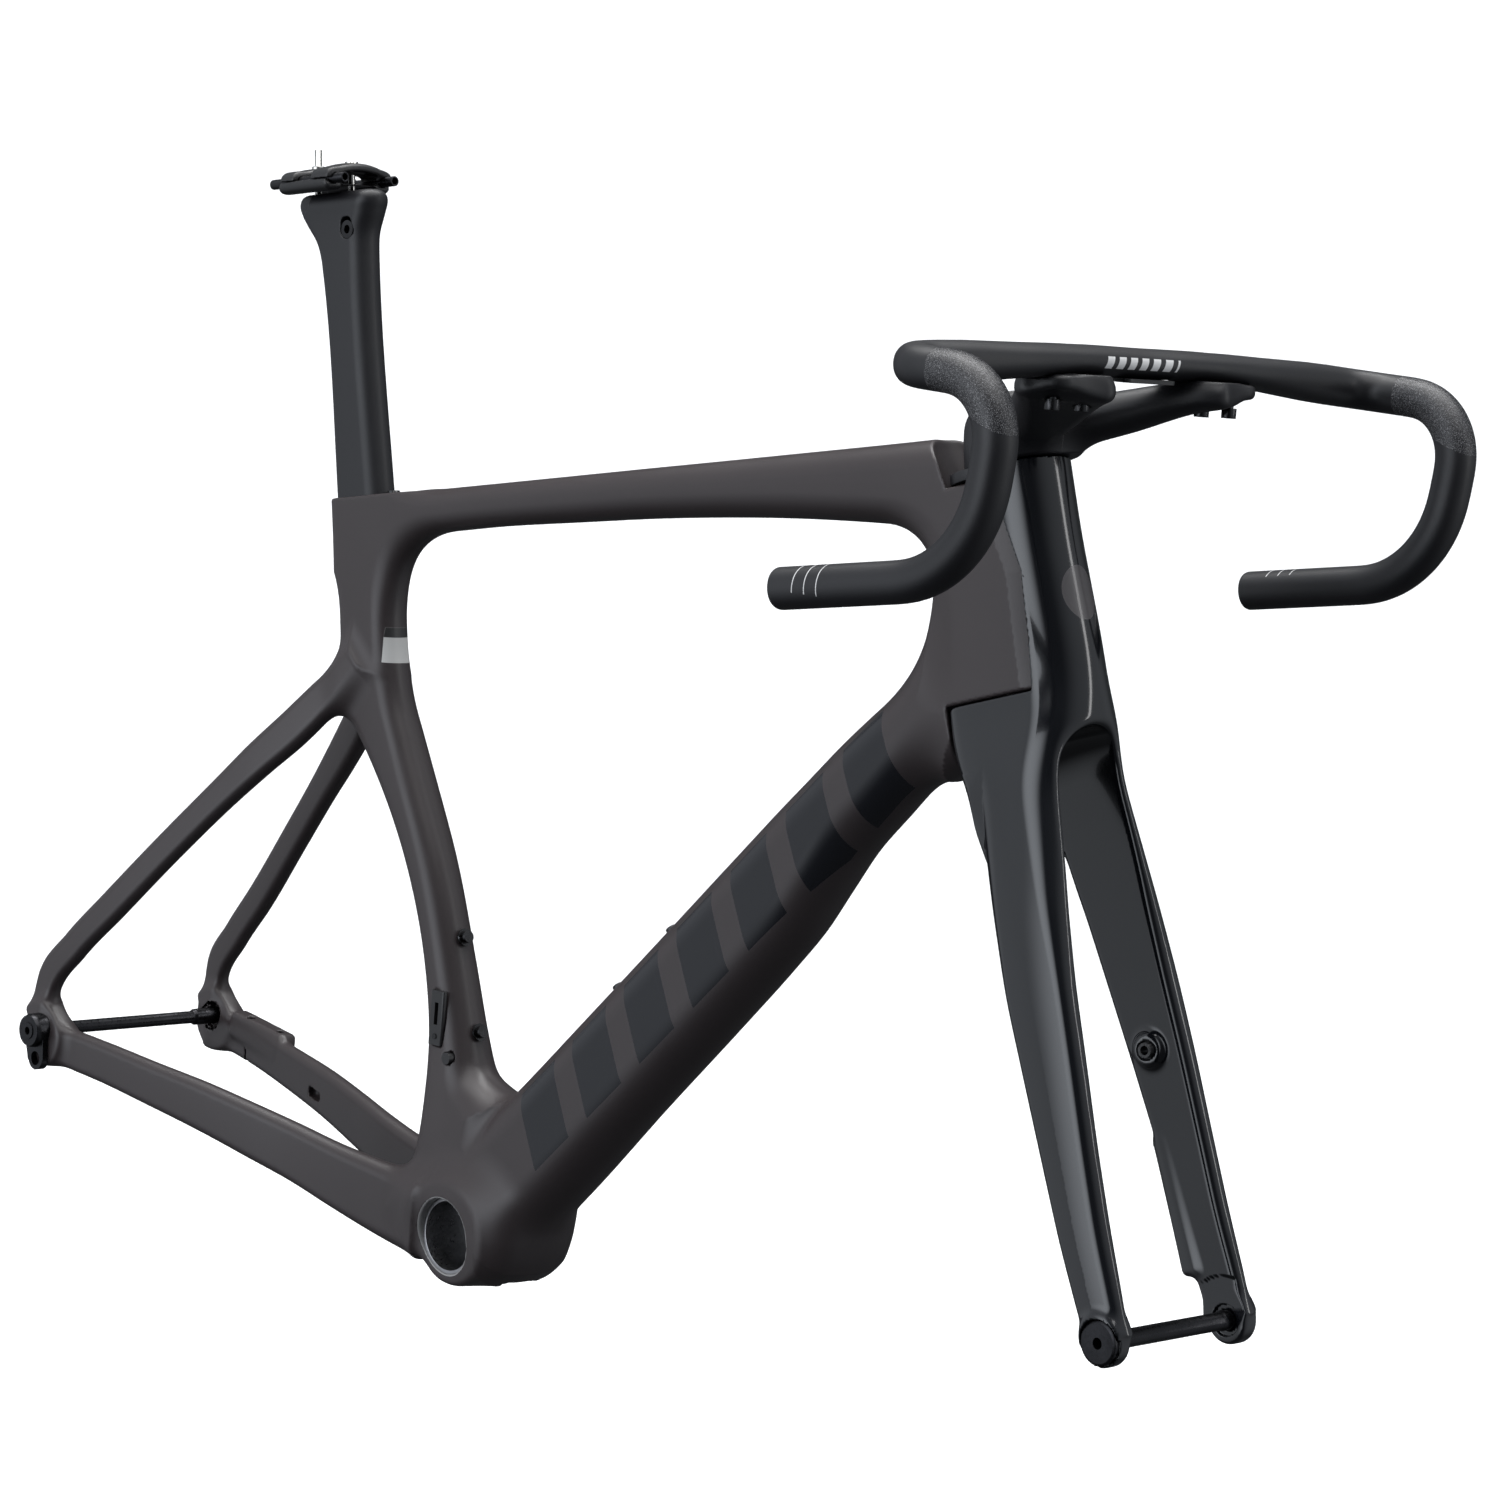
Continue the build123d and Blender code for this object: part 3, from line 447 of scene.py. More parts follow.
def noise(material, place, scale, detail=3.0, roughness=0.55):
    node = add_node(material, "ShaderNodeTexNoise")
    node.inputs["Scale"].default_value = scale
    node.inputs["Detail"].default_value = detail
    node.inputs["Roughness"].default_value = roughness
    material.node_tree.links.new(place, node.inputs["Vector"])
    return node.outputs["Fac"]


def ranged(material, value, low, high, from_low=0.3, from_high=0.7):
    node = add_node(material, "ShaderNodeMapRange", clamp=True)
    material.node_tree.links.new(value, node.inputs["Value"])
    node.inputs["From Min"].default_value = from_low
    node.inputs["From Max"].default_value = from_high
    node.inputs["To Min"].default_value = low
    node.inputs["To Max"].default_value = high
    return node.outputs["Result"]


def mixed_colour(material, share, one, two):
    node = add_node(material, "ShaderNodeMix", data_type="RGBA")
    links = material.node_tree.links
    for socket, value in ((node.inputs[0], share), (node.inputs[6], one), (node.inputs[7], two)):
        if isinstance(value, tuple):
            socket.default_value = (*value, 1)
        elif isinstance(value, float):
            socket.default_value = value
        else:
            links.new(value, socket)
    return node.outputs[2]


def mixed_value(material, share, one, two):
    """one where share is 0, two where it is 1."""
    gap = math_node(material, "SUBTRACT", two, one)
    return math_node(material, "ADD", product(material, share, gap), one)


def bump(material, shader, height, strength, distance):
    """Small relief from a height socket, its depth in metres."""
    node = add_node(material, "ShaderNodeBump")
    node.inputs["Strength"].default_value = strength
    node.inputs["Distance"].default_value = distance
    material.node_tree.links.new(height, node.inputs["Height"])
    material.node_tree.links.new(node.outputs["Normal"], shader.inputs["Normal"])


def between(material, value, low, high, soft=0.0002):
    """1 where a value lies between two limits, 0 outside, with soft edges."""
    rise = math_node(material, "DIVIDE", math_node(material, "SUBTRACT", value, low), soft, clamp=True)
    fall = math_node(material, "DIVIDE", math_node(material, "SUBTRACT", high, value), soft, clamp=True)
    return product(material, rise, fall)


def line_value(material, axes, direction, offset):
    """Dot product of the place with a direction, plus an offset in metres."""
    total = offset
    for axis, share in zip(axes, direction):
        if abs(share) > SMALL:
            total = math_node(material, "ADD", product(material, axis, float(share)), total)
    return total


def painted(name, colour, low_rough, high_rough, speckle=0.04, coat=0.0, coat_roughness=0.03, grain=900,
            bump_strength=0.03):
    """Moulded and painted skin: slight colour clouds, fine grain in colour, gloss and relief."""
    material, shader = new_material(name, colour, low_rough, coat=coat, coat_roughness=coat_roughness)
    place, *_ = object_axes(material)
    clouds = noise(material, place, 14, 2.0)
    fine = noise(material, place, grain, 2.0)
    links = material.node_tree.links
    dark = tuple(c * (1 - speckle) for c in colour)
    light = tuple(c * (1 + speckle) for c in colour)
    both = math_node(material, "ADD", product(material, clouds, 0.5), product(material, fine, 0.5))
    tone = mixed_colour(material, ranged(material, both, 0, 1, 0.35, 0.65), dark, light)
    links.new(tone, shader.inputs["Base Color"])
    rough = ranged(material, both, low_rough, high_rough, 0.35, 0.65)
    links.new(rough, shader.inputs["Roughness"])
    bump(material, shader, fine, bump_strength, 0.0002)
    return material, shader, tone, rough


def decal(material, shader, tone, rough, share, colour, decal_rough):
    """Paint a printed area over the skin's own colour and gloss."""
    links = material.node_tree.links
    new_tone = mixed_colour(material, share, tone, colour)
    new_rough = mixed_value(material, share, rough, decal_rough)
    links.new(new_tone, shader.inputs["Base Color"])
    links.new(new_rough, shader.inputs["Roughness"])
    return new_tone, new_rough


def frame_material():
    """Satin warm grey with darker, glossier slanted bars down the down tube and a blank pale label."""
    material, shader, tone, rough = painted("satin_grey_skin", (0.031, 0.0248, 0.0258), 0.36, 0.44, 0.05)
    place, x, y, z = object_axes(material)
    foot = DOWN_TUBE_FOOT * MM
    along = line_value(material, (x, y, z), DOWN_TUBE_DIR, -float(foot @ DOWN_TUBE_DIR))
    across = line_value(material, (x, y, z), DOWN_TUBE_BELOW, -float(foot @ DOWN_TUBE_BELOW))
    slant = math_node(material, "ADD", along, product(material, across, 0.35))
    pitch, share, start, count = 0.062, 0.66, 0.118, 7
    turn = math_node(material, "DIVIDE", math_node(material, "SUBTRACT", slant, start), pitch)
    bar = between(material, math_node(material, "FRACT", turn), 0.0, share, 0.01)
    inside = between(material, slant, start, start + pitch * (count - 1 + share) + 0.001)
    height = between(material, across, 0.0175, 0.0665)
    side = between(material, math_node(material, "ABSOLUTE", y), 0.010, 0.1)
    printed = product(material, product(material, bar, inside), product(material, height, side))
    tone, rough = decal(material, shader, tone, rough, printed, (0.0085, 0.0092, 0.012), 0.2)
    # blank label on the drive side of the seat tube
    wrap = math_node(material, "ADD", x, y)
    label = product(material, between(material, z, 0.3675, 0.3915, 0.0003),
                    between(material, wrap, -0.1475, -0.1190, 0.0003),
                    between(material, x, -0.1370, -0.1, 0.0003))
    tone, rough = decal(material, shader, tone, rough, label, (0.5, 0.5, 0.49), 0.4)
    stripe = product(material, label, between(material, z, 0.3845, 0.3920, 0.0003))
    tone, rough = decal(material, shader, tone, rough, stripe, (0.02, 0.02, 0.02), 0.4)
    # bare rim round the mouth of the bottom-bracket bore
    reach = math_node(material, "ADD", math_node(material, "POWER", x, 2.0),
                      math_node(material, "POWER", z, 2.0))
    rim = product(material, between(material, reach, 0.0249 ** 2, 0.0268 ** 2, 0.000002),
                  between(material, math_node(material, "ABSOLUTE", y), 0.030, 0.1))
    decal(material, shader, tone, rough, rim, (0.24, 0.24, 0.24), 0.3)
    return material


def fork_material():
    """Gloss black with a plain grey oval on the front of the head cover."""
    material, shader, tone, rough = painted("gloss_black_skin", (0.0045, 0.0052, 0.0072), 0.13, 0.16, 0.1,
                                            coat=0.5, coat_roughness=0.05, bump_strength=0.002)
    place, x, y, z = object_axes(material)
    along = line_value(material, (x, y, z), STEER_UP, -float(STEER_FOOT @ STEER_UP) * MM)
    forward = line_value(material, (x, y, z), STEER_FORWARD, -float(STEER_FOOT @ STEER_FORWARD) * MM)
    wide_share = math_node(material, "DIVIDE", y, 0.0135)
    tall_share = math_node(material, "DIVIDE", math_node(material, "SUBTRACT", along, 0.428), 0.0165)
    round_share = math_node(material, "ADD", math_node(material, "POWER", wide_share, 2.0),
                            math_node(material, "POWER", tall_share, 2.0))
    inset = math_node(material, "SUBTRACT", 1.0, round_share)
    oval = math_node(material, "DIVIDE", inset, 0.03, clamp=True)
    oval = product(material, oval, between(material, forward, 0.03, 0.1))
    decal(material, shader, tone, rough, oval, (0.075, 0.068, 0.07), 0.3)
    return material


def bar_material():
    """Matte black bar with grip bands on its bends flecked with painted glints, pale tick lines and a
    plain pale mark.
    """
    material, shader, tone, rough = painted("matte_black_bar", (0.0075, 0.0075, 0.0095), 0.42, 0.5, 0.06)
    links = material.node_tree.links
    place, x, y, z = object_axes(material)
    side = math_node(material, "ABSOLUTE", y)
    # grip band on the front of each bend, from the flat top's turn to a little below it
    low_edge = line_value(material, (x, y, z), unit([0.35, 0, 0.94]), 0.0)
    grip = product(material, between(material, low_edge, 0.7475, 0.9, 0.0002),
                   between(material, x, 0.5375, 0.7, 0.0002), between(material, side, 0.18, 0.3))
    grit = noise(material, place, 2600, 1.0)
    # pale specks painted into the grip's colour are painted glints off the grit
    painted_glint = ranged(material, grit, 0, 1, 0.58, 0.68)
    tone = mixed_colour(material, product(material, painted_glint, grip), tone, (0.3, 0.3, 0.31))
    rough = mixed_value(material, grip, rough, 0.26)
    # three pale lines near each open end
    for place_x in (0.4525, 0.4615, 0.4705):
        tick = product(material, between(material, x, place_x, place_x + 0.0008, 0.0001),
                       between(material, z, 0.479, 0.52, 0.0002),
                       between(material, side, 0.196, 0.3, 0.0002))
        tone = mixed_colour(material, tick, tone, (0.6, 0.6, 0.6))
    # generic pale mark on the front of the middle: a row of short slanted bars
    slant = math_node(material, "SUBTRACT", y, product(material, z, 0.35))
    turn = math_node(material, "DIVIDE", math_node(material, "ADD", slant, 0.24), 0.0105)
    bars = between(material, math_node(material, "FRACT", turn), 0.0, 0.62, 0.02)
    mark = product(material, bars, between(material, z, 0.6135, 0.6205, 0.0002),
                   between(material, slant, -0.2610, -0.1960, 0.0002), between(material, x, 0.506, 0.6))
    tone = mixed_colour(material, mark, tone, (0.75, 0.75, 0.75))
    links.new(tone, shader.inputs["Base Color"])
    links.new(rough, shader.inputs["Roughness"])
    bump(material, shader, product(material, grit, grip), 0.5, 0.0004)
    return material


def metal(name, colour, roughness):
    """Machined metal: fine variation in gloss and colour."""
    material, shader = new_material(name, colour, roughness, metallic=1.0)
    place, *_ = object_axes(material)
    fine = noise(material, place, 500, 3.0)
    wide = noise(material, place, 60, 2.0)
    links = material.node_tree.links
    tone = mixed_colour(material, ranged(material, wide, 0, 1), tuple(c * 0.8 for c in colour),
                        tuple(min(c * 1.15, 1) for c in colour))
    links.new(tone, shader.inputs["Base Color"])
    links.new(ranged(material, fine, roughness * 0.75, roughness * 1.3), shader.inputs["Roughness"])
    bump(material, shader, fine, 0.05, 0.0002)
    return material


GREY = frame_material()
GLOSS = fork_material()
BAR = bar_material()
BLACK = painted("matte_black_skin", (0.0075, 0.0075, 0.0095), 0.42, 0.5, 0.06)[0]
BLACK_TRIM = painted("black_trim", (0.012, 0.012, 0.013), 0.3, 0.42, 0.08, grain=1500)[0]
TEXTURED = painted("textured_black", (0.02, 0.02, 0.02), 0.45, 0.7, 0.3, grain=1800, bump_strength=0.4)[0]
ANODISED = metal("black_anodised", (0.035, 0.035, 0.038), 0.3)
BOLT = metal("black_bolt_steel", (0.05, 0.05, 0.052), 0.26)
STEEL = metal("bright_steel", (0.62, 0.61, 0.58), 0.2)
SLEEVE = metal("sleeve_alloy", (0.32, 0.32, 0.33), 0.34)


# ---------------------------------------------------------------- frame
SEAT_TUBE = [       # height, rear, front, width, corner
    (500, -209.0, -156.0, 30, 12.5),
    (423, -192.8, -139.0, 30, 13),
    (370, -184.5, -129.5, 30.5, 13.5),
    (343, -179.0, -120.5, 31, 14),
    (318, -173.0, -107.5, 32, 14),
    (292, -161.0, -93.5, 33, 14),
    (241, -128.5, -66.0, 33.5, 14.5),
    (177, -99.5, -40.0, 34.5, 15),
    (125, -88.0, -21.5, 38, 16),
    (60, -85.0, 2.0, 54, 20),
    (5, -62.0, 25.0, 62, 24),
]
TOP_TUBE = [        # x, bottom, top, width, corner
    (-165, 452.5, 478.9, 29, 12),
    (-140, 454.5, 482.8, 29, 12),
    (-93, 461.0, 490.2, 31, 12.5),
    (-38, 470.0, 498.8, 33, 12.5),
    (40, 480.5, 511.1, 36, 13.5),
    (115, 490.3, 522.9, 40, 14.5),
    (188, 498.0, 534.3, 44, 15.5),
    (258, 503.7, 545.3, 48, 16.5),
    (330, 507.5, 556.6, 52, 17),
    (420, 509.0, 570.7, 54, 17.5),
]
DOWN_TUBE = [       # distance up the tube, upper and lower edge below its reference line, width, corner
    (15, 2, 88, 60, 27),
    (96, 4.5, 88.5, 59, 27),
    (186, 4.5, 86, 56, 26.5),
    (274, 4.5, 84.5, 55, 26.5),
    (337, 4.5, 82.5, 54.5, 26),
    (374, 4.5, 80, 54.5, 26),
    (407, 4.5, 74, 54.5, 26),
    (441, 5, 68, 54.5, 26),
    (480, 6, 66, 54.5, 25),
    (526, 9, 64, 54.5, 25),
    (575, 14, 62, 54.5, 24),
]
HEAD_TUBE = [       # distance up the steering axis, rear, front, width, corner
    (352, -47, 53, 54.5, 21),
    (400, -48, 53, 54.5, 21),
    (450, -47, 51, 54, 21),
    (503, -46, 49, 53, 21),
]
STAY_DOWN = unit([-0.7, 0, -0.714])
STAY_BACK = np.array([STAY_DOWN[2], 0, -STAY_DOWN[0]])
SEATSTAY = limb_rows(REAR_AXLE, STAY_DOWN, STAY_BACK, [      # x, |y|, z, depth, width
    (-158, 11, 366, 20, 15),
    (-181, 19, 340, 27, 14.5),
    (-204, 28, 314, 28.5, 14.5),
    (-229, 36.5, 289.5, 27, 14),
    (-254, 43.5, 264.5, 24.5, 13.5),
    (-298, 55, 219.5, 23.5, 13),
    (-347, 66.5, 168, 23.5, 13),
    (-380.5, 72.5, 134, 23, 12.5),
    (-404, 76, 104, 24, 12),
    (-408, 77.5, 78, 26, 12),
])
CHAINSTAY_BACK = -FORWARD
CHAINSTAY = limb_rows(ORIGIN, CHAINSTAY_BACK, UP, [          # x, |y|, z, depth, width
    (-402, 77.5, 62, 26, 12),
    (-384, 76, 60.5, 28, 12.3),
    (-340, 70.5, 56.0, 29.5, 13),
    (-290, 63.5, 49.0, 32, 14),
    (-240, 55.5, 41.5, 35.5, 15),
    (-196, 47.5, 33.0, 38.5, 15.5),
    (-157, 40, 25.0, 41, 16),
    (-118, 34.5, 16.5, 45, 17),
    (-74, 29, 9.0, 51, 20),
    (-36, 24, 4, 56, 26),
])
COLLAR_REAR, COLLAR_TOP, TOP_SLOPE = -178.0, 476.9, 0.157
WHEEL_RADIUS = 341.5
BB_LOW, BB_HIGH = -34.0, 45.0
BB_BORE = 25.5
AXLE_HOLE = 6.05
CROWN_TOP, HEAD_BOTTOM, HEAD_TOP, COVER_TOP, STEM_BOTTOM = 374.3, 375.5, 503.0, 509.5, 510.5
NOSE = [(340, 39), (445, 39), (490, 31), (530, 28)]          # distance up the steering axis, radius
CROWN_GAP_RADIUS = 48.2
FAR_INSIDE = -60.0      # a distance that never shapes a surface


def nose_radius(along):
    return np.interp(along, [row[0] for row in NOSE], [row[1] for row in NOSE])


def lower_cluster(p):
    """Bottom-bracket shell: a wide round boss across the foot of the tubes."""
    middle, half = (BB_LOW + BB_HIGH) / 2, (BB_HIGH - BB_LOW) / 2
    boss = blend_max(np.hypot(p[:, 0], p[:, 2] + 1.2) - 32, np.abs(p[:, 1] - middle) - half, 5)
    toe = turned(p, 23.5, 4, -28, 30, 24.5, 16)
    return blend_min(boss, toe, 22)


def post_cut(p, depth, width, corner, low_height):
    """Cavity along the seatpost's line, from a height up."""
    q = p - POST_FOOT
    t = q @ POST_UP
    d = rounded_box(q @ POST_FORWARD, p[:, 1], depth / 2, width / 2, corner)
    return np.maximum(d, low_height / POST_UP[2] - t)


def main_tubes(p):
    """Seat, top, down and head tubes as one outline in the middle plane, given its width."""
    x, y, z = p.T
    seat, *seat_size = band(p, ORIGIN, UP, FORWARD, SEAT_TUBE)
    wheel = np.hypot(x - REAR_AXLE[0], z - REAR_AXLE[2])
    seat = blend_max(seat, WHEEL_RADIUS - wheel, 6)
    top, *top_size = band(p, ORIGIN, FORWARD, UP, TOP_TUBE)
    down, *down_size = band(p, DOWN_TUBE_FOOT, DOWN_TUBE_DIR, DOWN_TUBE_BELOW, DOWN_TUBE)
    head, *head_size = band(p, STEER_FOOT, STEER_UP, STEER_FORWARD, HEAD_TUBE)
    outlines = (seat, top, down, head)
    half_widths, corners = zip(seat_size, top_size, down_size, head_size)
    half_width = mean_by_nearness(outlines, half_widths)
    corner = mean_by_nearness(outlines, corners)
    front = blend_min(down, head, 60)
    outline = blend_min(seat, top, 66)
    outline = blend_min(outline, front, 40)
    # low shelf in the fork of the seat and down tubes
    shelf = np.maximum(np.maximum(-40 - x, x - 22), np.maximum(40 - z, z - 103 + 0.3 * (x + 13)))
    outline = blend_min(outline, shelf, 12)
    body = thickened(outline, np.abs(y), half_width, np.minimum(corner, half_width - 0.5))
    # the seat tube's collar ends on the top tube's own line, and the cut rises clear of the tube ahead
    collar = z - COLLAR_TOP - TOP_SLOPE * (x - COLLAR_REAR) - 0.08 * np.maximum(x + 115, 0)
    return blend_max(body, collar, 2)


def rear_stays(p):
    """Seatstays, chainstays and their rounded ends on both sides, with the brake platform on the left."""
    x, y, z = p.T
    upper_stay = limb(p, REAR_AXLE, STAY_DOWN, STAY_BACK, SEATSTAY)
    lower_stay = limb(p, ORIGIN, CHAINSTAY_BACK, UP, CHAINSTAY)
    end = np.hypot(x - REAR_AXLE[0] + 2, z - REAR_AXLE[2] + 4) - 20.5
    end = blend_max(end, np.abs(np.abs(y) - 77) - 6.2, 3)
    stays = blend_min(upper_stay, lower_stay, 14)
    stays = blend_min(stays, end, 14)
    platform = box_field(p, (-341, 71.8, 66), tilted(-0.13), (31, 7.4, 9), 4)
    return blend_min(stays, platform, 8)


def frame_field(p):
    """The whole moulded frame, with its bores, pockets and room for the fork, stem and post."""
    x, y, z = p.T
    s, f = steer_coordinates(p)
    radius = np.hypot(f, y)
    body = blend_min(main_tubes(p), lower_cluster(p), 34)
    body = blend_min(body, rear_stays(p), 18)
    # front of the head tube: round nose inside the fork's cover, with a sunk band along the seam
    nose = np.where(f > 1, radius - nose_radius(s), FAR_INSIDE)
    body = bevel_max(body, nose, 5.5)
    crown = np.maximum(radius - CROWN_GAP_RADIUS, s - HEAD_BOTTOM)
    body = blend_max(body, -np.maximum(crown, 300 - s), 2.5)
    # room for the stem above the head tube
    stem_room = np.maximum(radius - np.interp(s, [HEAD_TOP, 530, 570], [31.5, 36, 39]), HEAD_TOP - s)
    body = blend_max(body, -stem_room, 2.5)
    body = blend_max(body, -post_cut(p, 48.6, 25.6, 11.8, 396), 1.0)
    # bottom-bracket bore, axle holes and their ring pockets, screw seats and slots
    body = blend_max(body, BB_BORE - np.hypot(x, z), 1.6)
    axle = np.hypot(x - REAR_AXLE[0], z - REAR_AXLE[2])
    body = blend_max(body, AXLE_HOLE - axle, 1.0)
    body = blend_max(body, -np.maximum(axle - 10.5, np.abs(y - 71) - 3.5), 1.0)
    body = blend_max(body, -np.maximum(axle - 9, np.abs(y - 83) - 3), 1.0)
    return blend_max(body, -small_cuts(p), 0.8)


def small_cuts(p):
    """Ports, slots and pockets in the frame's skin."""
    cuts = [
        # front-derailleur mount pocket and wiring port on the drive side of the seat tube
        box_field(p, (-43.75, -20, 138.5), np.eye(3), (6.9, 3.6, 18.7), 1.5),
        bar_field(p, (-30, -30, 113.4), (-30, -14, 113.4), 4.1, 0.3),
        # slots in the side of the down tube's foot
        box_field(p, (73.5, -17, 6.5), tilted(1), (4.5, 14, 1.6), 1.5),
        box_field(p, (63, -14, -16), tilted(1), (3.0, 14, 1.2), 1.1),
        # slot in the inner face of the left lower stay
        box_field(p, (-250, 53.5, 40), tilted(-0.11), (10, 5, 4), 3.9),
        # slot round the brake bolts
        box_field(p, (-336, 70, 80), tilted(-0.13), (24, 5, 5.2), 4.5),
        bar_field(p, (-353, 70, 30), (-353, 70, 90), 2.8, 0.3),
        bar_field(p, (-319, 70, 30), (-319, 70, 90), 2.8, 0.3),
        # cable cover under the shell
        box_field(p, (24, 0, -33), tilted(0.18), (16.2, 15.2, 9.3), 4),
    ]
    return np.minimum.reduce(cuts)


FRAME_NODES = ["head_tube", "top_tube", "down_tube", "seat_tube", "bottom_bracket_shell", "seatstay_left",
               "seatstay_right", "chainstay_left", "chainstay_right", "dropout_left", "dropout_right"]


# ---------------------------------------------------------------- fork
LEG = [             # x, |y|, z, depth, width
    (459, 34.0, 382, 62, 20),
    (475, 38.2, 345, 60, 18.2),
    (491.3, 42.7, 300, 54.5, 17.2),
    (509, 46.9, 256, 49, 16.8),
    (527.8, 50.1, 212.6, 44.5, 16.4),
    (546.0, 52.8, 169, 39.5, 16),
    (564.5, 54.8, 125, 35.5, 16),
    (579.5, 56.2, 93, 33, 14.5),
    (589, 56.8, 72, 31, 13),
]
FORK_HEAD = [       # distance up the steering axis, rear, front, width, corner
    (322, -26, 45, 81, 25),
    (342, -36, 51, 73, 27),
    (359, -44, 54, 64, 27),
    (374.3, -46.5, 54.5, 57, 27),
    (400, -46.5, 54.5, 56, 27),
    (430, -46.5, 52.5, 55.5, 27),
    (465, -46.5, 50, 54.5, 26.5),
    (540, -46.5, 48.5, 53, 25.5),
]
FORK_HEIGHTS = np.arange(-60.0, 560.0)
FORK_END = float((np.array([LEG[-1][0], 0, LEG[-1][2]]) - STEER_FOOT) @ LEG_DOWN)


def bell_weights(reach, width):
    """Weights of a bell curve, adding up to 1."""
    weights = np.exp(-0.5 * (np.arange(-reach, reach + 1) / width) ** 2)
    return weights / weights.sum()


def eased(points):
    """A straight-line table turned into a gentle curve along the steering axis."""
    points = sorted(points)
    line = np.interp(FORK_HEIGHTS, [point[0] for point in points], [point[1] for point in points])
    return np.convolve(np.pad(line, 40, mode="edge"), bell_weights(40, 10.0), "valid")


def fork_tables():
    """Rear, front, outer, inner and corner curves of the whole fork down its steering axis."""
    rear, front, outer, inner, corner = [], [], [], [], []
    for rx, ry, rz, depth, width in LEG:
        q = np.array([rx, 0, rz]) - STEER_FOOT
        height = q @ STEER_UP
        inner.append((height, ry - width / 2))
        if height > 295:
            continue
        for sign, edge in ((-1, rear), (1, front)):
            point = q + LEG_FORWARD * sign * depth / 2
            edge.append((point @ STEER_UP, point @ STEER_FORWARD))
        outer.append((height, ry + width / 2))
        corner.append((height, 5.5 + width * 0.1 + 0.12 * max(0.0, height - 205)))
    for height, back, ahead, width, radius in FORK_HEAD:
        rear.append((height, back))
        front.append((height, ahead))
        outer.append((height, width / 2))
        corner.append((height, radius))
    return [eased(points) for points in (rear, front, outer, inner, corner)]


FORK_CURVES = fork_tables()
ARCH_RADIUS = 350.0


def fork_blades(p):
    """Cover, crown and legs in one piece, with the head tube's room cut out, and their inner side."""
    y = p[:, 1]
    s, f = steer_coordinates(p)
    radius = np.hypot(f, y)
    rear, front, outer, inner, corner = (np.interp(s, FORK_HEIGHTS, curve) for curve in FORK_CURVES)
    corner = np.minimum(corner, np.minimum(outer - 0.5, np.interp(f, [-20, 15], [9, 60])))
    outline = np.maximum(rear - f, f - front)
    outline = np.maximum(outline, (p - STEER_FOOT) @ LEG_DOWN - FORK_END)
    body = thickened(outline, np.abs(y), outer, corner)
    body = np.maximum(body, s - COVER_TOP)
    head_room = np.maximum(CROWN_TOP - s, np.minimum(radius - nose_radius(s) - 1.2, f))
    body = blend_max(body, -head_room, 1.5)
    # round back of the crown, under the head tube
    body = blend_max(body, np.minimum(np.minimum(8 - f, radius - 47), s - 337), 5)
    return body, inner


def fork_field(p):
    """The whole moulded fork, with its tyre arch, axle ends, brake seat and hose port."""
    x, y, z = p.T
    side = np.abs(y)
    body, inner = fork_blades(p)
    # tyre room: an arch between the legs
    axle = np.hypot(x - FRONT_AXLE[0], z - FRONT_AXLE[2])
    arch = blend_max(axle - ARCH_RADIUS, side - inner, 26)
    body = blend_max(body, -arch, 7)
    # ends round the axle
    ends = blend_max(axle - 14.4, np.abs(side - 56.5) - 6.6, 4)
    body = blend_min(body, ends, 8)
    body = blend_max(body, -np.maximum(axle - 26, side - 50), 0.8)
    body = blend_max(body, AXLE_HOLE - axle, 0.8)
    body = blend_max(body, -np.maximum(axle - 13.6, y + 59.2), 0.8)
    body = blend_max(body, -np.maximum(axle - 9.5, np.abs(y - 50) - 2.2), 0.8)
    # stepped seat for the brake behind the left leg, and the hose port above it
    seat = box_field(p, (545.5, 54.5, 129), (LEG_DOWN, LEFT, LEG_FORWARD), (42, 6.0, 7.5), 4)
    body = blend_min(body, seat, 6)
    lip = bar_field(p, (522.5, 37.4, 218), (519, 54, 217), 9.0, 2.5)
    body = blend_min(body, lip, 7)
    port = bar_field(p, (523, 30, 218), (519, 70, 217), 5.2, 0.5)
    return blend_max(body, -port, 1.5)


FORK_NODES = ["fork_crown", "fork_leg_left", "fork_leg_right", "external_steerer"]


# ---------------------------------------------------------------- stem and bar
ARM = [             # x, |y|, z, height, width
    (414, 8, 564, 36, 32),
    (440, 19, 577, 29, 36),
    (470, 38, 589, 25, 44),
    (494, 56, 598, 19, 52),
    (510, 70, 601, 13, 56),
]
ARM_DIR = unit([0.78, 0.55, 0.3])
ARM_UP = unit(np.array([-0.25, -0.17, 0.95]) - ARM_DIR * (np.array([-0.25, -0.17, 0.95]) @ ARM_DIR))
ARM_SIDE = np.cross(ARM_UP, ARM_DIR)
BAR_FLAT = [        # y, x, height, depth, thickness
    (0, 499, 617.0, 33, 17.5),
    (60, 502, 617.0, 32.5, 17.5),
    (105, 504.5, 615.0, 29, 20),
    (150, 506, 612.5, 25, 23.4),
]
STEM_BASE = [       # distance up the steering axis, rear, front, width, corner
    (STEM_BOTTOM, -14, 48, 54, 26.5),
    (520, -11, 47, 53, 25.5),
    (530, -10, 42, 48, 22.5),
    (540, -9, 39, 45, 21),
    (549, -3, 33, 39, 18),
]
STEM_BOLT_X, STEM_BOLT_SIDES = 508.0, (53.0, 78.0)


def bar_middle(p, grow=0.0):
    """The bar's flattened middle, a little larger by grow."""
    x, height, depth, thickness = rows_at(BAR_FLAT, np.abs(p[:, 1]))
    u = (p[:, 0] - x) / (depth / 2 + grow)
    v = (p[:, 2] - height) / (thickness / 2 + grow)
    g = (np.abs(u) ** 2.2 + np.abs(v) ** 2.2) ** (1 / 2.2)
    return (g - 1) * thickness / 2


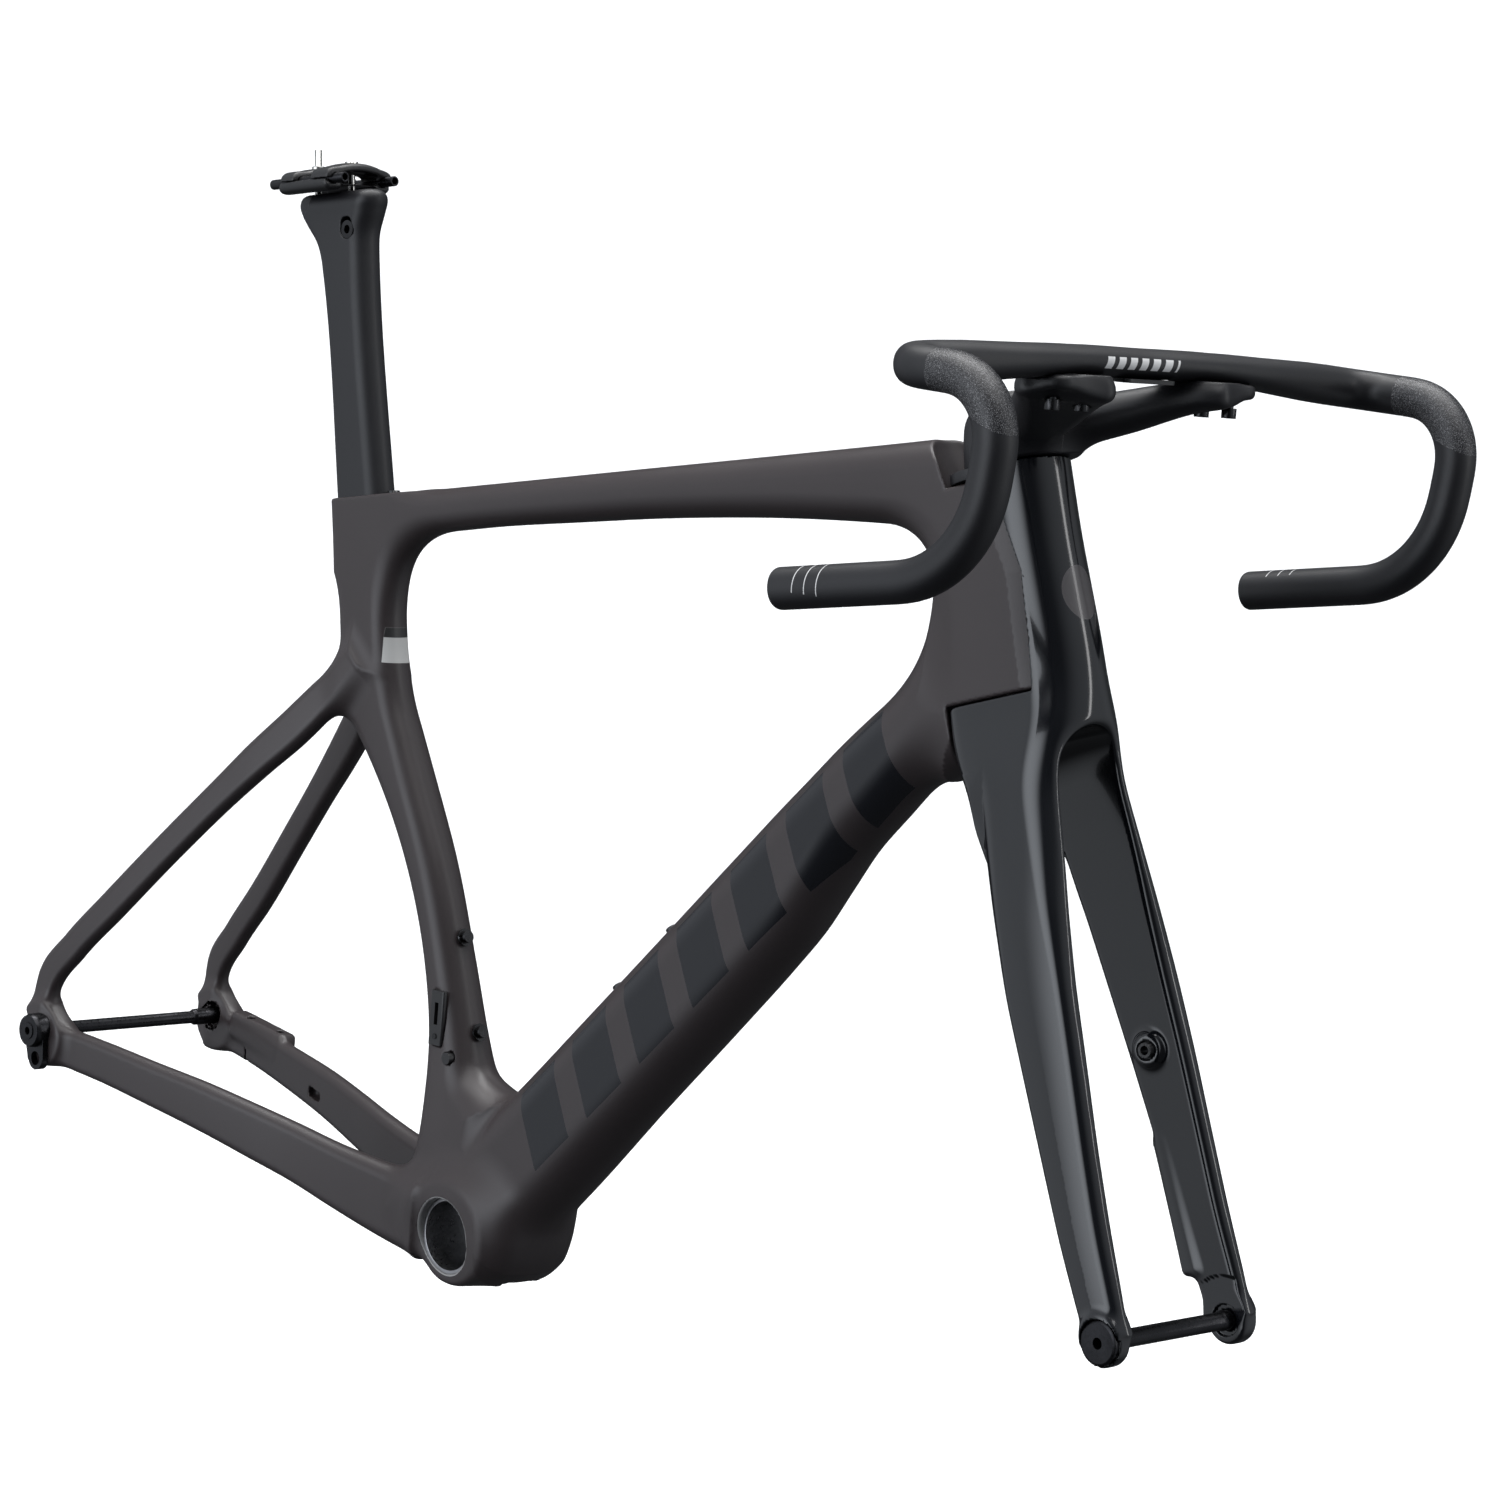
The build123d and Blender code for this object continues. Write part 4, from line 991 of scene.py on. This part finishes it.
def stem_field(p):
    x, y, z = p.T
    side = np.abs(y)
    s, f = steer_coordinates(p)
    folded = np.stack([x, side, z], -1)
    start = np.array(ARM[0][:3], float)
    rows = []
    for ax, ay, az, height, width in ARM:
        q = np.array([ax, ay, az]) - start
        rows.append((q @ ARM_DIR, q @ ARM_UP, q @ ARM_SIDE, height, width))
    q = folded - start
    t = q @ ARM_DIR
    up, across, height, width = rows_at(rows, t)
    arm = rounded_box(q @ ARM_UP - up, q @ ARM_SIDE - across, height / 2, width / 2, height / 2 - 1)
    arm = blend_max(arm, np.maximum(-14 - t, t - rows[-1][0] - 4), 8)
    base = blade(p, STEER_FOOT, STEER_UP, STEER_FORWARD, STEM_BASE, 2)
    body = blend_min(base, arm, 22)
    # flanges under the bar, each as wide as its two bolts
    flange = np.hypot(np.maximum(np.abs(side - 66) - 12, 0), np.maximum(np.abs(x - 506) - 5, 0)) - 12
    flange = blend_max(flange, np.abs(z - 604.5) - 4.2, 4)
    body = blend_min(body, flange, 12)
    body = blend_max(body, 0.5 - bar_middle(p), 0.8)
    body = np.maximum(body, z - 609.5)
    body = blend_max(body, STEM_BOTTOM - s, 1.0)
    body = blend_max(body, -np.maximum(np.hypot(f, y) - 5.2, s - 536), 0.5)
    for bolt in STEM_BOLT_SIDES:
        seat = np.hypot(x - STEM_BOLT_X, side - bolt) - 5.0
        body = blend_max(body, -np.maximum(seat, z - 594.6), 1.0)
    return body


def fillet_route(corners, radii, step):
    """Points along straight runs joined by arcs."""
    corners = [np.array(c, float) for c in corners]
    points = []
    at = corners[0]
    for before, corner, after, radius in zip(corners, corners[1:], corners[2:], radii):
        enter, leave = unit(corner - before), unit(after - corner)
        turn = math.acos(max(-1.0, min(1.0, float(enter @ leave))))
        tangent = radius * math.tan(turn / 2)
        first = corner - enter * tangent
        run = np.linalg.norm(first - at)
        count = max(1, int(run / step))
        points += [at + (first - at) * k / count for k in range(count)]
        inward = unit(leave - enter)
        centre = corner + inward * radius / math.cos(turn / 2)
        out = first - centre
        count = max(2, int(radius * turn / step))
        for k in range(count):
            angle = turn * k / count
            points.append(centre + out * math.cos(angle) + enter * radius * math.sin(angle))
        at = corner + leave * tangent
    run = np.linalg.norm(corners[-1] - at)
    count = max(1, int(run / step))
    points += [at + (corners[-1] - at) * k / count for k in range(count + 1)]
    return np.array(points)


BAR_CORNERS = [     # x, y, z of the left half's corners, from the flat middle to the open end
    (504.5, 105, 615.0),
    (505, 205, 609.5),
    (586, 204, 606.5),
    (573, 203, 500),
    (434.5, 206, 479.5),
]
BAR_BENDS = [25.0, 36.0, 68.0]
BAR_STEP = 1.6
BAR_SIDES = 56


def bar_line():
    """Smooth centre line of the left half of the bar."""
    places = np.arange(0, 104, BAR_STEP)
    x, height, *_ = rows_at(BAR_FLAT, places)
    middle = np.stack([x, places, height], -1)
    bends = fillet_route(BAR_CORNERS, BAR_BENDS, BAR_STEP)
    line = np.concatenate([middle, bends])
    reach = 14
    smooth = line.copy()
    padded = np.concatenate([line[reach:0:-1] * [1, -1, 1], line,
                             line[-1] + np.arange(1, reach + 1)[:, None] * (line[-1] - line[-2])])
    weights = bell_weights(reach, 3.2)
    for k in range(3):
        smooth[:, k] = np.convolve(padded[:, k], weights, "valid")
    return smooth


def swept(name, rings, body, material):
    """Closed skin through rings of points."""
    count = len(rings[0])
    points = np.concatenate(rings)
    faces = []
    for i in range(len(rings) - 1):
        for j in range(count):
            k = (j + 1) % count
            faces.append((i * count + j, i * count + k, (i + 1) * count + k, (i + 1) * count + j))
    faces.append(tuple(range(count))[::-1])
    faces.append(tuple((len(rings) - 1) * count + j for j in range(count)))
    piece = mesh_object(name, points, faces)
    piece.data.materials.append(material)
    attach(piece, body)
    return piece


def make_handlebar():
    half = bar_line()
    line = np.concatenate([half[:0:-1] * [1, -1, 1], half])
    tangents = np.gradient(line, axis=0)
    tangents /= np.linalg.norm(tangents, axis=1)[:, None]
    length = np.concatenate([[0], np.cumsum(np.linalg.norm(np.diff(half, axis=0), axis=1))])
    depth = np.interp(length, [0, 60, 105, 150, 170], [33, 32.5, 29, 25, 24])
    thick = np.interp(length, [0, 60, 105, 150, 170], [17.5, 17.5, 20, 23.4, 24])
    depth = np.concatenate([depth[:0:-1], depth])
    thick = np.concatenate([thick[:0:-1], thick])
    # the section's forward axis, carried from the middle out to each end without twist
    middle = len(half) - 1
    axes = [None] * len(line)
    for order in (range(middle, len(line)), range(middle, -1, -1)):
        ahead = FORWARD
        for i in order:
            ahead = ahead - tangents[i] * (ahead @ tangents[i])
            ahead = unit(ahead)
            axes[i] = ahead
    angles = np.arange(BAR_SIDES) * 2 * math.pi / BAR_SIDES
    power = 2 / 2.15
    reach_ahead = np.sign(np.cos(angles)) * np.abs(np.cos(angles)) ** power
    reach_up = np.sign(np.sin(angles)) * np.abs(np.sin(angles)) ** power
    rings = []
    for place, tangent, ahead, wide, tall in zip(line, tangents, axes, depth, thick):
        up = np.cross(ahead, tangent)
        rings.append(place + np.outer(reach_ahead * wide / 2, ahead) + np.outer(reach_up * tall / 2, up))
    # open ends: a rounded lip, then the bore
    for end, outward in ((0, -tangents[0]), (len(line) - 1, tangents[-1])):
        centre = line[end]
        spoke = rings[0 if end == 0 else -1] - centre
        scale = [(0.985, 0.5), (0.93, 0.95), (0.86, 0.95), (0.81, 0.5), (0.8, -1.0), (0.8, -28.0)]
        extra = [centre + spoke * share + outward * step for share, step in scale]
        rings = extra[::-1] + rings if end == 0 else rings + extra
    piece = swept("handlebar_skin", rings, "fork", BAR)
    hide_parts("handlebar")


# ---------------------------------------------------------------- seatpost
POST_SECTIONS = [   # distance up the post's line, rear, front, width, corner
    (470, -24, 24, 25, 12.2),
    (645, -24, 24, 25, 12.2),
    (654, -24.8, 24.6, 25, 12.2),
    (667, -28.5, 26.5, 25.5, 12.4),
    (680, -37, 33, 26.5, 12.8),
    (692, -43.5, 38.5, 28, 13.4),
    (704, -45, 40.5, 28.5, 13.6),
    (725, -44, 39.5, 28.5, 13.6),
]


CLAMP_AXES = (CLAMP_FORWARD, LEFT, CLAMP_UP)
CLAMP_BOLTS = (-25.0, 11.0)         # ahead of the tilt axis
RAIL_HEIGHT, RAIL_SIDE = 35.0, 22.0


def in_clamp(x, y, z):
    """A place given ahead, left and above the tilt axis, along the clamp's own slope."""
    return TILT_AXIS + CLAMP_FORWARD * x + LEFT * y + CLAMP_UP * z


def post_field(p):
    """The post, its flared head, and the cuts for the clamp's parts."""
    body = blade(p, POST_FOOT, POST_UP, POST_FORWARD, POST_SECTIONS, 1.5)
    local = (p - TILT_AXIS) @ CLAMP_UP
    # flat top with round shoulders, low enough to let the cradle tilt
    body = blend_max(body, local - 28.0, 12)
    # side hole for the clamp's barrel nut, arched over its top
    barrel = np.hypot(p[:, 0] - TILT_AXIS[0] - 20, p[:, 2] - 658) - 6.3
    post_axes = (POST_FORWARD, LEFT, POST_UP)
    arched = box_field(p, (TILT_AXIS[0] + 19.4, 0, 661), post_axes, (5.6, 40, 5.5), 4.5)
    body = blend_max(body, -np.minimum(barrel, arched), 0.8)
    for bolt in CLAMP_BOLTS:
        slot_cut = box_field(p, in_clamp(bolt, 0, 25), CLAMP_AXES, (9, 4.2, 47), 4)
        body = blend_max(body, -slot_cut, 0.8)
    # half-round recess under the rear of the cradle
    recess = bar_field(p, in_clamp(-29, -30, 22), in_clamp(-29, 30, 22), 8.5, 1)
    recess = np.maximum(recess, 9.0 - np.abs(p[:, 1]))
    return blend_max(body, -recess, 1.5)


# ---------------------------------------------------------------- saddle clamp
def rails_cut(p, body, radius):
    for side in (1, -1):
        rod = bar_field(p, in_clamp(-70, side * RAIL_SIDE, RAIL_HEIGHT),
                        in_clamp(60, side * RAIL_SIDE, RAIL_HEIGHT), radius)
        body = blend_max(body, -rod, 0.4)
    return body


def bolt_cut(p, body):
    for bolt in CLAMP_BOLTS:
        rod = bar_field(p, in_clamp(bolt, 0, -30), in_clamp(bolt, 0, 90), 2.75)
        body = blend_max(body, -rod, 0.4)
    return body


def cradle_field(p):
    """Lower dish: a saddle over the post's head with a cupped arm under each rail."""
    q = p - TILT_AXIS
    x, y, z = q @ CLAMP_FORWARD, p[:, 1], q @ CLAMP_UP
    plate = box_field(p, in_clamp(-8, 0, 31.5), CLAMP_AXES, (27, 27.5, 3.2), 3)
    droop = z - (34.4 - 0.004 * (x + 8) ** 2)
    plate = blend_max(plate, droop, 2)
    cups = np.full(len(p), 100.0)
    for side in (1, -1):
        cup = bar_field(p, in_clamp(-33, side * RAIL_SIDE, RAIL_HEIGHT - 1.5),
                        in_clamp(17, side * RAIL_SIDE, RAIL_HEIGHT - 1.5), 6.0, 3)
        cups = np.minimum(cups, np.maximum(cup, z - RAIL_HEIGHT + 0.5))
    body = blend_min(plate, cups, 4)
    inner = box_field(p, in_clamp(-8, 0, 14), CLAMP_AXES, (60, 15.5, 17.4), 1)
    body = blend_max(body, -inner, 1.0)
    return bolt_cut(p, rails_cut(p, body, 3.6))


def clamp_top_field(p):
    """Upper leaves: a front arch over both rails and a rear leaf, each hooked over the rails."""
    q = p - TILT_AXIS
    x, y, z = q @ CLAMP_FORWARD, p[:, 1], q @ CLAMP_UP
    side = np.abs(y)
    body = np.full(len(p), 100.0)
    for centre, half, peak in ((11.0, 12.5, 44.5), (-24.0, 10.5, 43.0)):
        middle = peak - 0.0085 * side ** 2 - 0.010 * (x - centre) ** 2
        leaf = np.abs(z - middle) - 2.6
        leaf = blend_max(leaf, np.abs(x - centre) - half + 0.004 * side ** 2, 3)
        leaf = blend_max(leaf, side - 27.5, 3)
        hook = np.abs(np.hypot(side - RAIL_SIDE, z - RAIL_HEIGHT) - 5.3) - 1.7
        hook = np.maximum(hook, RAIL_HEIGHT + 0.5 - z)
        hook = blend_max(hook, np.abs(x - centre) - half + 3.5, 2)
        body = np.minimum(body, blend_min(leaf, hook, 3))
    bridge = box_field(p, in_clamp(-7, 0, 41), CLAMP_AXES, (24, 8, 2.2), 2)
    body = blend_min(body, bridge, 3)
    body = np.maximum(body, RAIL_HEIGHT + 0.45 - z)
    return bolt_cut(p, rails_cut(p, body, 3.6))


def make_pieces():
    moulded("frame_body", frame_field, (-435, -95, -40), (492, 95, 585), 1.9, "frame", GREY,
            FRAME_NODES)
    moulded("fork_body", fork_field, (390, -72, 45), (625, 72, 570), 1.5, "fork", GLOSS,
            FORK_NODES, 2)
    moulded("stem_body", stem_field, (352, -98, 535), (532, 98, 615), 1.2, "fork", BLACK,
            ["stem"])
    moulded("seatpost_body", post_field, (-285, -20, 395), (-145, 20, 705), 1.1, "seatpost",
            BLACK, ["seatpost"])
    moulded("rail_cradle_dish", cradle_field, (-285, -34, 665), (-185, 34, 705), 0.8, "saddle_clamp",
            BLACK_TRIM, ["rail_cradle"])
    moulded("rail_clamp_leaves", clamp_top_field, (-285, -34, 670), (-185, 34, 715), 0.7, "saddle_clamp",
            BLACK_TRIM, ["rail_clamp_top"])
    make_handlebar()


make_pieces()

# ---------------------------------------------------------------- carried-over nodes
NODE_MATERIALS = {
    "bottom_bracket_sleeve": SLEEVE, "headset_bearing_lower": STEEL, "headset_bearing_upper": STEEL,
    "headset_race_lower": STEEL, "headset_race_upper": STEEL, "stem_spacer": BLACK,
    "steerer_tie_rod": BOLT, "stem_bolts": BOLT, "bar_shims": TEXTURED, "bar_underside_cover": BLACK_TRIM,
    "brake_thread_inserts": BOLT, "hose_port_grommet": BLACK_TRIM, "rail_rods": ANODISED,
    "clamp_bolt_front": STEEL, "clamp_bolt_rear": STEEL, "clamp_nut_rear": STEEL,
    "clamp_barrel_nut": BOLT, "front_axle": ANODISED, "rear_axle": ANODISED,
    "derailleur_hanger": ANODISED, "bottle_thread_sleeves": BOLT, "bottle_screws": BOLT,
    "derailleur_mount_cover": BLACK_TRIM, "mount_cover_screw": BOLT, "wiring_port_plug": BLACK_TRIM,
    "seatpost_clamp_wedge": BOLT, "seatpost_clamp_bolt": BOLT, "cable_port_cover": GREY,
    "cable_port_screw": BOLT,
}
SHARP_ANGLE = math.radians(32)
BEVEL_WIDTH = {"front_axle": 0.5, "rear_axle": 0.5, "derailleur_hanger": 0.8, "stem_bolts": 0.4,
               "bottle_screws": 0.5, "derailleur_mount_cover": 0.5, "bar_shims": 0.4, "rail_rods": 0.3,
               "clamp_nut_rear": 0.4, "stem_spacer": 0.5, "bar_underside_cover": 0.5,
               "clamp_barrel_nut": 0.5, "bottom_bracket_sleeve": 0.4}


def finish_node(name, node):
    """Give a carried-over part its material, crisp rounded edges and smooth round faces."""
    material = NODE_MATERIALS.get(name, BLACK)
    node.data.materials.clear()
    node.data.materials.append(material)
    weld = node.modifiers.new("weld", "WELD")
    weld.merge_threshold = 0.00001
    if name in BEVEL_WIDTH:
        edge = node.modifiers.new("edge", "BEVEL")
        edge.width = BEVEL_WIDTH[name] * MM
        edge.segments = 2
        edge.limit_method = "ANGLE"
        edge.angle_limit = SHARP_ANGLE
        edge.harden_normals = False
        edge.use_clamp_overlap = True


for node_name, node_object in nodes.items():
    if not node_object.hide_render:
        finish_node(node_name, node_object)


# ---------------------------------------------------------------- stage, light and camera
CAMERA_YAW, CAMERA_PITCH, CAMERA_ROLL = math.radians(45.01), math.radians(6.42), math.radians(4.53)
CAMERA_PLACE = Vector((2.1089, -1.8951, 0.6560))
CAMERA_LENS = 103.33
SENSOR = 36.0
FLOOR_HEIGHT = -0.275


def make_camera():
    look = Vector((-math.sin(CAMERA_YAW) * math.cos(CAMERA_PITCH),
                   math.cos(CAMERA_YAW) * math.cos(CAMERA_PITCH), -math.sin(CAMERA_PITCH)))
    right = Vector((math.cos(CAMERA_YAW), math.sin(CAMERA_YAW), 0))
    up = right.cross(look)
    rolled_right = right * math.cos(CAMERA_ROLL) + up * math.sin(CAMERA_ROLL)
    rolled_up = up * math.cos(CAMERA_ROLL) - right * math.sin(CAMERA_ROLL)
    data = bpy.data.cameras.new("camera")
    data.lens, data.sensor_width = CAMERA_LENS, SENSOR
    data.clip_start, data.clip_end = 0.05, 100
    camera = bpy.data.objects.new("camera", data)
    rows = Matrix((rolled_right, rolled_up, -look)).transposed()
    camera.matrix_world = Matrix.Translation(CAMERA_PLACE) @ rows.to_4x4()
    bpy.context.scene.collection.objects.link(camera)
    bpy.context.scene.camera = camera


def area_light(name, place, target, width, height, radiance, colour=(1, 1, 1)):
    """Softbox seen at a steady brightness whatever its size."""
    data = bpy.data.lights.new(name, "AREA")
    data.shape = "RECTANGLE"
    data.size, data.size_y = width, height
    data.energy = radiance * math.pi * width * height
    data.color = colour
    light = bpy.data.objects.new(name, data)
    light.location = place
    direction = Vector(target) - Vector(place)
    light.rotation_euler = direction.to_track_quat("-Z", "Y").to_euler()
    bpy.context.scene.collection.objects.link(light)
    return light


def make_stage():
    """Pale floor that curves up into a backdrop behind the object."""
    away = Vector((-math.sin(CAMERA_YAW), math.cos(CAMERA_YAW), 0))
    across = Vector((math.cos(CAMERA_YAW), math.sin(CAMERA_YAW), 0))
    reach, curve, height, half_width, steps = 3.2, 2.4, 6.0, 9.0, 24
    profile = [(-9.0, 0.0)]
    for k in range(steps + 1):
        angle = k / steps * math.pi / 2
        profile.append((reach + curve * math.sin(angle), curve * (1 - math.cos(angle))))
    profile.append((reach + curve, height))
    points = [away * along + across * side + Vector((0, 0, FLOOR_HEIGHT + up))
              for along, up in profile for side in (-half_width, half_width)]
    faces = [(2 * k, 2 * k + 1, 2 * k + 3, 2 * k + 2) for k in range(len(profile) - 1)]
    mesh = bpy.data.meshes.new("floor")
    mesh.from_pydata(points, [], faces)
    mesh.shade_smooth()
    floor = bpy.data.objects.new("floor", mesh)
    bpy.context.scene.collection.objects.link(floor)
    floor.data.materials.append(new_material("pale_floor", (0.93, 0.93, 0.93), 0.8)[0])
    floor.visible_diffuse = False
    floor.visible_glossy = False


def make_world():
    """Dim room with broad soft glows, brightest on the drive side, for long gradients on glossy parts."""
    world = bpy.data.worlds.new("studio")
    world.use_nodes = True
    nodes, links = world.node_tree.nodes, world.node_tree.links
    place = nodes.new("ShaderNodeTexCoord")
    strength = None
    lobes = (((-0.72, -0.68, 0.2), 0.35, 0.6), ((-0.12, -0.98, 0.12), 0.82, 2.4),
             ((0.1, 0.1, 0.99), 0.35, 0.3), ((0.86, 0.50, 0.1), 0.35, 0.4))
    for toward, edge, amount in lobes:
        dot = nodes.new("ShaderNodeVectorMath")
        dot.operation = "DOT_PRODUCT"
        links.new(place.outputs["Generated"], dot.inputs[0])
        dot.inputs[1].default_value = Vector(toward).normalized()
        lobe = nodes.new("ShaderNodeMapRange")
        lobe.interpolation_type = "SMOOTHSTEP"
        lobe.inputs["From Min"].default_value = edge
        lobe.inputs["From Max"].default_value = 1.0
        lobe.inputs["To Min"].default_value = 0.0
        lobe.inputs["To Max"].default_value = amount
        links.new(dot.outputs["Value"], lobe.inputs["Value"])
        if strength is None:
            strength = lobe.outputs["Result"]
            continue
        total = nodes.new("ShaderNodeMath")
        total.operation = "ADD"
        links.new(strength, total.inputs[0])
        links.new(lobe.outputs["Result"], total.inputs[1])
        strength = total.outputs["Value"]
    floor_level = nodes.new("ShaderNodeMath")
    floor_level.operation = "ADD"
    floor_level.inputs[1].default_value = 0.06
    links.new(strength, floor_level.inputs[0])
    background = nodes["Background"]
    background.inputs[0].default_value = (0.88, 0.93, 1.0, 1)
    links.new(floor_level.outputs["Value"], background.inputs[1])
    bpy.context.scene.world = world


def make_lights():
    middle = (0.1, 0, 0.35)
    softbox = area_light("left_softbox", (-2.6, -2.9, 1.7), middle, 3.2, 3.0, 1.7, (1.0, 0.97, 0.95))
    softbox.visible_glossy = False
    area_light("right_strip", (3.2, 1.9, 1.3), middle, 0.4, 3.0, 4.0)
    area_light("top_softbox", (0.2, -0.2, 3.6), middle, 5.0, 4.4, 2.4)
    area_light("backdrop_light", (-1.0, 1.0, 4.2), (-3.2, 3.2, 0.6), 4.0, 1.5, 9.0)


bpy.context.scene.view_settings.view_transform = "Standard"
make_camera()
make_stage()
make_world()
make_lights()

bpy.context.view_layer.update()
